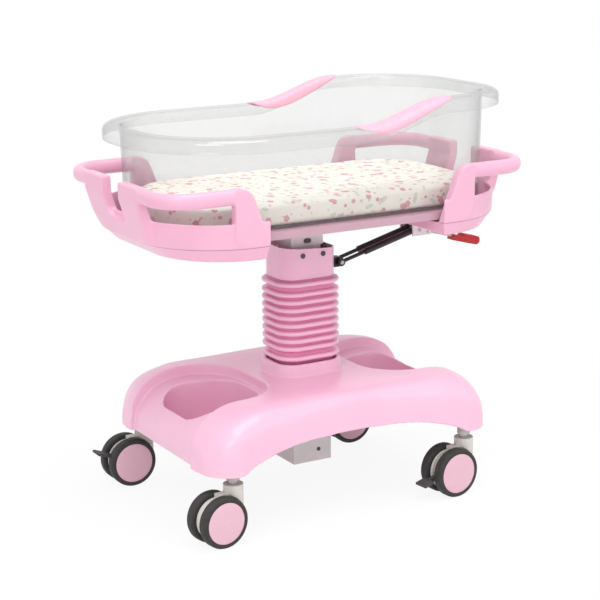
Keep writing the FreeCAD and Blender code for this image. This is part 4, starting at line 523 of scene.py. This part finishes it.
def make_rim_grips(material):
    """Two soft leaf-shaped grips over the slopes of the rim."""
    steps, across = GRIP_STEPS, GRIP_ACROSS
    work = bmesh.new()
    for side in (-1, 1):
        grid = []
        for i in range(steps + 1):
            share = i / steps
            x = GRIP_START + (GRIP_END - GRIP_START) * share
            taper = math.sin(math.pi * share) ** 0.42 if 0 < share < 1 else 0.0
            path = grip_path(rim_height(x))
            low_edge, high_edge = 0.50 - 0.40 * taper, 0.50 + 0.46 * taper
            row = []
            for k in range(across + 1):
                place = low_edge + (high_edge - low_edge) * k / across
                at, out = along_path(path, place)
                fullness = min(1.0, 6.0 * taper * math.sin(math.pi * k / across)) ** 0.5
                bulge = GRIP_T * fullness + 0.15 * MM
                at = (at[0] + out[0] * bulge, at[1] + out[1] * bulge)
                row.append(work.verts.new((x, side * (WALL_Y + at[0]), at[1])))
            grid.append(row)
        for i in range(steps):
            for k in range(across):
                quad = (grid[i][k], grid[i + 1][k], grid[i + 1][k + 1], grid[i][k + 1])
                work.faces.new(quad if side < 0 else tuple(reversed(quad)))
    bmesh.ops.remove_doubles(work, verts=work.verts, dist=0.05 * MM)
    piece = new_object("rim_grip_pads", mesh_of(work, "rim_grip_pads"), "basin", material)
    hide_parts("rim_grips")


def along_path(path, share):
    """The point and the outward direction at a share of a path's length."""
    lengths = [math.dist(a, b) for a, b in zip(path, path[1:])]
    target = share * sum(lengths)
    for i, length in enumerate(lengths):
        if target <= length or i == len(lengths) - 1:
            t = target / length
            a, b = path[i], path[i + 1]
            at = (a[0] + (b[0] - a[0]) * t, a[1] + (b[1] - a[1]) * t)
            rise = ((b[0] - a[0]) / length, (b[1] - a[1]) / length)
            return at, (rise[1], -rise[0])
        target -= length


# ---------------------------------------------------------------- the bellows

SLEEVE_X, SLEEVE_Y, SLEEVE_R, SLEEVE_T = 62 * MM, 52 * MM, 33 * MM, 2 * MM
RIBS, RIB_OUT, RIB_R = 10, 10 * MM, 4.4 * MM
RIB_PITCH, RIB_END_GAP, RIB_UP = 15.8 * MM, 20 * MM, 26 * MM


def rib_heights(low):
    """The heights of the ribs, which stand further apart at the two ends."""
    first = low + RIB_UP
    heights = [first] + [first + RIB_END_GAP + RIB_PITCH * i for i in range(RIBS - 2)]
    return heights + [heights[-1] + RIB_END_GAP]


def bellows_profile(low, high):
    """Down the inside of the sleeve and up its outside, over one round rib after another."""
    profile = [(-SLEEVE_T, high), (-SLEEVE_T, low), (0.0, low)]
    for height in rib_heights(low):
        profile += [(0.0, height - RIB_R - 1 * MM), (1.2 * MM, height - RIB_R)]
        profile += arc_points((RIB_OUT - RIB_R, height), RIB_R, -90, 90, 9)
        profile += [(1.2 * MM, height + RIB_R), (0.0, height + RIB_R + 1 * MM)]
    return profile + [(0.0, high)]


def rounded_outline(half_x, half_y, radius, turns):
    """Points and outward directions round a rectangle with round corners."""
    points = []
    for i, (side_x, side_y) in enumerate(((1, -1), (1, 1), (-1, 1), (-1, -1))):
        centre = Vector((side_x * (half_x - radius), side_y * (half_y - radius)))
        for k in range(turns + 1):
            angle = -math.pi / 2 + (i + k / turns) * math.pi / 2
            outward = Vector((math.cos(angle), math.sin(angle)))
            points.append((centre + radius * outward, outward))
    return points


def make_bellows(material):
    """The ribbed sleeve, as one fixed shape; the real one stretches when the column rises."""
    low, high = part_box("bellows")
    profile = bellows_profile(low.z, high.z)
    work, _ = swept_ring(rounded_outline(SLEEVE_X, SLEEVE_Y, SLEEVE_R, 14), lambda x: profile, True)
    bmesh.ops.recalc_face_normals(work, faces=work.faces)
    piece = new_object("bellows_sleeve", mesh_of(work, "bellows_sleeve"), None, material)
    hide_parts("bellows")
    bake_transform(piece)


def bellows_plastic(name):
    """Soft moulded plastic, with painted shade on the sleeve between the ribs: deep pink there, lighter on
    the ribs.
    """
    shader = Shader(name)
    x, y, _ = shader.split(shader.place)
    over_x = shader.math("SUBTRACT", shader.math("ABSOLUTE", x), SLEEVE_X - SLEEVE_R)
    over_y = shader.math("SUBTRACT", shader.math("ABSOLUTE", y), SLEEVE_Y - SLEEVE_R)
    round_x = shader.math("MAXIMUM", over_x, 0.0)
    round_y = shader.math("MAXIMUM", over_y, 0.0)
    squares = shader.math("ADD", shader.math("POWER", round_x, 2.0), shader.math("POWER", round_y, 2.0))
    reach = shader.math("SQRT", squares)
    # painted shade: the sleeve between the ribs gets the deep pink, the ribs the lighter pink
    out = shader.ramp(reach, SLEEVE_R + 0.5 * MM, SLEEVE_R + 5 * MM)
    clouds = shader.ramp(shader.noise(9.0, 4.0), 0.3, 0.7, 0.0, 0.12)
    base = shader.blend(out, PINK_DEEP_AND_SHADE, shader.blend(clouds, PINK, PINK_DEEP_AND_SHADE))
    scuffs = shader.ramp(shader.noise(140.0, 5.0), 0.5, 0.75)
    shader.set(colour=base, rough=shader.math("ADD", shader.math("MULTIPLY", scuffs, 0.08), 0.30), coat=0.15,
               coat_rough=0.2)
    shader.bump(shader.noise(380.0, 2.0), 0.05 * MM)
    return shader.material


# ---------------------------------------------------------------- the mattress

PAD_SWELL, PAD_INSET, PAD_VOXEL, PAD_FRAMES = 5 * MM, 3 * MM, 5 * MM, 20
PAD_PRESSURE, PAD_MASS, PAD_STIFFNESS, PAD_BENDING = 4.0, 0.3, 15.0, 0.6
CROWN_DROP, DENT_DEPTH, DENTS, DENT_SEED = 2.0 * MM, 0.5 * MM, 26, 7


def make_mattress(material):
    """The mattress: a pad blown up as cloth, held to its height and crowned a little."""
    piece = new_object("mattress_pad", welded_copy("mattress"), "mattress", material)
    low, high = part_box("mattress")
    remesh(piece, PAD_VOXEL)
    inflate(piece, low, high)
    crown(piece, low, high)
    divide = piece.modifiers.new("divide", "SUBSURF")
    divide.levels = 1
    apply_modifiers(piece)
    finish_mesh(piece, material)
    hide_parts("mattress")


def inflate(piece, low, high):
    """Blows the pad up as cloth, and keeps each point within its reach and the pad's own space."""
    middle = (low + high) / 2
    half = (high - low) / 2
    for vertex in piece.data.vertices:
        for axis in range(3):
            vertex.co[axis] = middle[axis] + (vertex.co[axis] - middle[axis]) * (1 - PAD_INSET / half[axis])
    before = [vertex.co.copy() for vertex in piece.data.vertices]
    cloth = piece.modifiers.new("cloth", "CLOTH")
    settings = cloth.settings
    settings.quality = 5
    settings.mass = PAD_MASS
    settings.use_pressure = True
    settings.uniform_pressure_force = PAD_PRESSURE
    settings.effector_weights.gravity = 0.0
    settings.tension_stiffness = PAD_STIFFNESS
    settings.compression_stiffness = PAD_STIFFNESS
    settings.bending_stiffness = PAD_BENDING
    cloth.collision_settings.use_collision = False
    cloth.point_cache.frame_end = PAD_FRAMES
    scene = bpy.context.scene
    for step in range(1, PAD_FRAMES + 1):
        scene.frame_set(step)
    apply_modifiers(piece)
    scene.frame_set(1)
    for vertex, start in zip(piece.data.vertices, before):
        move = vertex.co - start
        if move.length > PAD_SWELL:
            move = move * (PAD_SWELL / move.length)
        place = start + move
        for axis in range(3):
            place[axis] = min(high[axis], max(low[axis], place[axis]))
        vertex.co = place


def crown(piece, low, high):
    """Lowers the pad's top towards its edges and adds faint dents."""
    rng = random.Random(DENT_SEED)
    dents = [(rng.uniform(low[0], high[0]), rng.uniform(low[1], high[1]), rng.uniform(0.05, 0.11))
             for _ in range(DENTS)]
    middle_z = (low[2] + high[2]) / 2
    for vertex in piece.data.vertices:
        place = vertex.co
        if place.z > middle_z:
            u = abs(2 * (place.x - low[0]) / (high[0] - low[0]) - 1)
            v = abs(2 * (place.y - low[1]) / (high[1] - low[1]) - 1)
            drop = CROWN_DROP * max(u ** 8, v ** 6)
            dent = sum(math.exp(-((place.x - a) ** 2 + (place.y - b) ** 2) / r ** 2) for a, b, r in dents)
            place.z -= (drop + DENT_DEPTH * dent) * (place.z - middle_z) / (high[2] - middle_z)


# ---------------------------------------------------------------- camera, light and floor

CAMERA_PLACE = Vector((-1.667542, -2.911477, 1.221291))
CAMERA_AZIMUTH, CAMERA_PITCH, CAMERA_ROLL = math.radians(-29.791), math.radians(13.904), math.radians(-0.61)
FOCAL_PX, PHOTO_PX = 1718.763, 600

# name, place, aim, width and power of each lamp
LAMPS = (("key", (-3.4, -3.6, 3.8), (0, 0, 0.35), 3.0, 68),
         ("fill", (2.6, -4.8, 2.4), (0, 0, 0.35), 3.0, 10),
         ("top", (0.2, -1.6, 5.6), (0, 0, 0.3), 4.0, 160))
SKY_LIGHT = 0.79
FLOOR_HALF = 14.0
FADE_START, FADE_END = 0.25, 1.10
FADE_NEAR, FADE_FAR = 0.90, 1.0


def make_camera():
    """The photograph's view."""
    data = bpy.data.cameras.new("camera")
    data.sensor_width = 36.0
    data.lens = data.sensor_width * FOCAL_PX / PHOTO_PX
    data.clip_end = 50.0
    camera = bpy.data.objects.new("camera", data)
    bpy.context.scene.collection.objects.link(camera)
    az, pitch, roll = CAMERA_AZIMUTH, CAMERA_PITCH, CAMERA_ROLL
    back = Vector((math.sin(az) * math.cos(pitch), -math.cos(az) * math.cos(pitch), math.sin(pitch)))
    right = Vector((math.cos(az), math.sin(az), 0.0))
    up = back.cross(right)
    turned_right = math.cos(roll) * right + math.sin(roll) * up
    turned_up = -math.sin(roll) * right + math.cos(roll) * up
    turn = Matrix((turned_right, turned_up, back)).transposed().to_4x4()
    camera.matrix_world = Matrix.Translation(CAMERA_PLACE) @ turn
    bpy.context.scene.camera = camera


def make_light(name, place, aim, size, power):
    data = bpy.data.lights.new(name, "AREA")
    data.shape = "DISK"
    data.size = size
    data.energy = power
    lamp = bpy.data.objects.new(name, data)
    bpy.context.scene.collection.objects.link(lamp)
    lamp.location = place
    lamp.rotation_euler = (Vector(aim) - Vector(place)).to_track_quat("-Z", "Y").to_euler()


def white_where_seen(tree, light_strength):
    """Whether a ray shows the background, and a strength that is 1 for it and another for other rays."""
    path = tree.nodes.new("ShaderNodeLightPath")
    first = tree.nodes.new("ShaderNodeMath")
    first.operation = "MAXIMUM"
    tree.links.new(path.outputs["Is Camera Ray"], first.inputs[0])
    tree.links.new(path.outputs["Is Transmission Ray"], first.inputs[1])
    seen = tree.nodes.new("ShaderNodeMath")
    seen.operation = "MAXIMUM"
    tree.links.new(first.outputs[0], seen.inputs[0])
    tree.links.new(path.outputs["Is Glossy Ray"], seen.inputs[1])
    strength = tree.nodes.new("ShaderNodeMapRange")
    tree.links.new(seen.outputs[0], strength.inputs[0])
    strength.inputs[3].default_value = light_strength
    strength.inputs[4].default_value = 1.0
    return seen.outputs[0], strength.outputs[0]


def make_studio():
    """A white world, a pale floor and three large soft lamps."""
    world = bpy.data.worlds.new("studio")
    bpy.context.scene.world = world
    world.use_nodes = True
    tree = world.node_tree
    background = tree.nodes["Background"]
    background.inputs[0].default_value = (1.0, 1.0, 1.0, 1.0)
    _, strength = white_where_seen(tree, SKY_LIGHT)
    tree.links.new(strength, background.inputs[1])
    mesh = bpy.data.meshes.new("floor")
    corners = [(FLOOR_HALF * x, FLOOR_HALF * y, 0) for x, y in ((-1, -1), (1, -1), (1, 1), (-1, 1))]
    mesh.from_pydata(corners, [], [(0, 1, 2, 3)])
    floor = bpy.data.objects.new("floor", mesh)
    bpy.context.scene.collection.objects.link(floor)
    mesh.materials.append(floor_material())
    for lamp in LAMPS:
        make_light(*lamp)


def floor_material():
    """A pale floor that shows the object's soft shadow and fades to white further out."""
    material = bpy.data.materials.new("floor")
    material.use_nodes = True
    tree = material.node_tree
    tree.nodes.clear()
    output = tree.nodes.new("ShaderNodeOutputMaterial")
    diffuse = tree.nodes.new("ShaderNodeBsdfDiffuse")
    diffuse.inputs[0].default_value = (0.9, 0.9, 0.9, 1.0)
    glow = tree.nodes.new("ShaderNodeEmission")
    glow.inputs[0].default_value = (1.0, 1.0, 1.0, 1.0)
    mix = tree.nodes.new("ShaderNodeMixShader")
    seen, _ = white_where_seen(tree, 0.0)
    place = tree.nodes.new("ShaderNodeTexCoord")
    reach = tree.nodes.new("ShaderNodeVectorMath")
    reach.operation = "LENGTH"
    tree.links.new(place.outputs["Object"], reach.inputs[0])
    fade = tree.nodes.new("ShaderNodeMapRange")
    fade.interpolation_type = "SMOOTHSTEP"
    tree.links.new(reach.outputs["Value"], fade.inputs[0])
    for socket, value in zip(fade.inputs[1:5], (FADE_START, FADE_END, FADE_NEAR, FADE_FAR)):
        socket.default_value = value
    share = tree.nodes.new("ShaderNodeMath")
    share.operation = "MULTIPLY"
    tree.links.new(seen, share.inputs[0])
    tree.links.new(fade.outputs[0], share.inputs[1])
    tree.links.new(share.outputs[0], mix.inputs[0])
    tree.links.new(diffuse.outputs[0], mix.inputs[1])
    tree.links.new(glow.outputs[0], mix.inputs[2])
    tree.links.new(mix.outputs[0], output.inputs[0])
    return material


# ---------------------------------------------------------------- the whole

LEG_FOOT = 133.5 * MM
BASE_VOXEL, BASE_ROUNDS = 1.7 * MM, 10
TRAY_VOXEL, TRAY_ROUNDS = 1.8 * MM, 22
TRAY_SEAM, SEAM_HALF, SEAM_SOFT = 565 * MM, 0.4 * MM, 0.7 * MM


def dress():
    """Gives every CAD node its material, and replaces those with softer or finer shapes."""
    pink = moulded("moulded_pink", PINK)
    # the trays' deeper pink is partly painted shade
    tray_pink_shaded = moulded("tray_pink_shaded", TRAY_PINK_SHADED, seam=TRAY_SEAM)
    grey_paint = painted("bracket_paint", BRACKET)
    zinc = steel("zinc_steel", ZINC)
    dark = painted("dark_screw", DARK, 0.45)
    strut_black = painted("strut_black", BLACK, 0.29)
    tyre = rubber("tyre", TYRE)
    caster_grey = moulded("caster_grey", WARM_GREY, 0.42)
    disc_pink = moulded("disc_pink", DISC_PINK, 0.38)
    frame_paint = painted("frame_paint", FRAME_GREY)
    plain = {
        "base_rail_near": frame_paint, "base_rail_far": frame_paint, "base_cross_frame": frame_paint,
        "lift_housing": grey_paint,
        "lift_housing_screws": dark, "caster_stems": zinc, "outer_tube": painted("tube_paint", FRAME_GREY),
        "glide_bush": moulded("glide_white", WHITE, 0.5), "lift_spring_cylinder": strut_black,
        "inner_tube": zinc, "lift_spring_rod": zinc,
        "column_head": grey_paint, "tilt_pin": zinc, "column_cover": pink, "column_cover_screws": dark,
        "strut_bracket": strut_black, "strut_pin_low": zinc, "bracket_bolt": dark, "bed_bracket": grey_paint,
        "pin_keepers": dark, "bed_frame": painted("bed_frame_paint", FRAME_GREY),
        "bed_platform": painted("platform_paint", RAIL_PINK), "strut_yoke": grey_paint, "strut_pin_up": zinc,
        "lever_pin": zinc, "tray_screws": zinc, "strut_rods": strut_black, "strut_tubes": strut_black,
        "release_lever": zinc, "lever_grip": moulded("lever_red", RED, 0.29),
    }
    for node, material in plain.items():
        finish_node(node, material)
    for name in NODES:
        if name.startswith("caster_") and name != "caster_stems":
            kind = name.split("_", 3)[3]
            finish_node(name, {"fork": caster_grey, "axle": zinc, "wheels": tyre, "wheel_covers": disc_pink,
                               "brake_pedal": rubber("pedal_dark", DARK)}[kind])
    soft_edged("base_moulding", "base_cover", "base", pink, BASE_VOXEL, BASE_ROUNDS, LEG_FOOT)
    for end in ("head", "foot"):
        soft_edged("tray_moulding_" + end, "tray_" + end, "bed", tray_pink_shaded, TRAY_VOXEL, TRAY_ROUNDS)
    make_bellows(bellows_plastic("bellows_plastic"))
    make_basin(clear_plastic("clear_plastic"))
    make_rim_grips(rubber("rim_grip", PINK_GRIP, 0.42, 0.98))
    make_mattress(printed_cotton("printed_cotton"))


bpy.context.scene.view_settings.view_transform = "Standard"
bpy.context.scene.cycles.transparent_max_bounces = 24
make_camera()
make_studio()
dress()
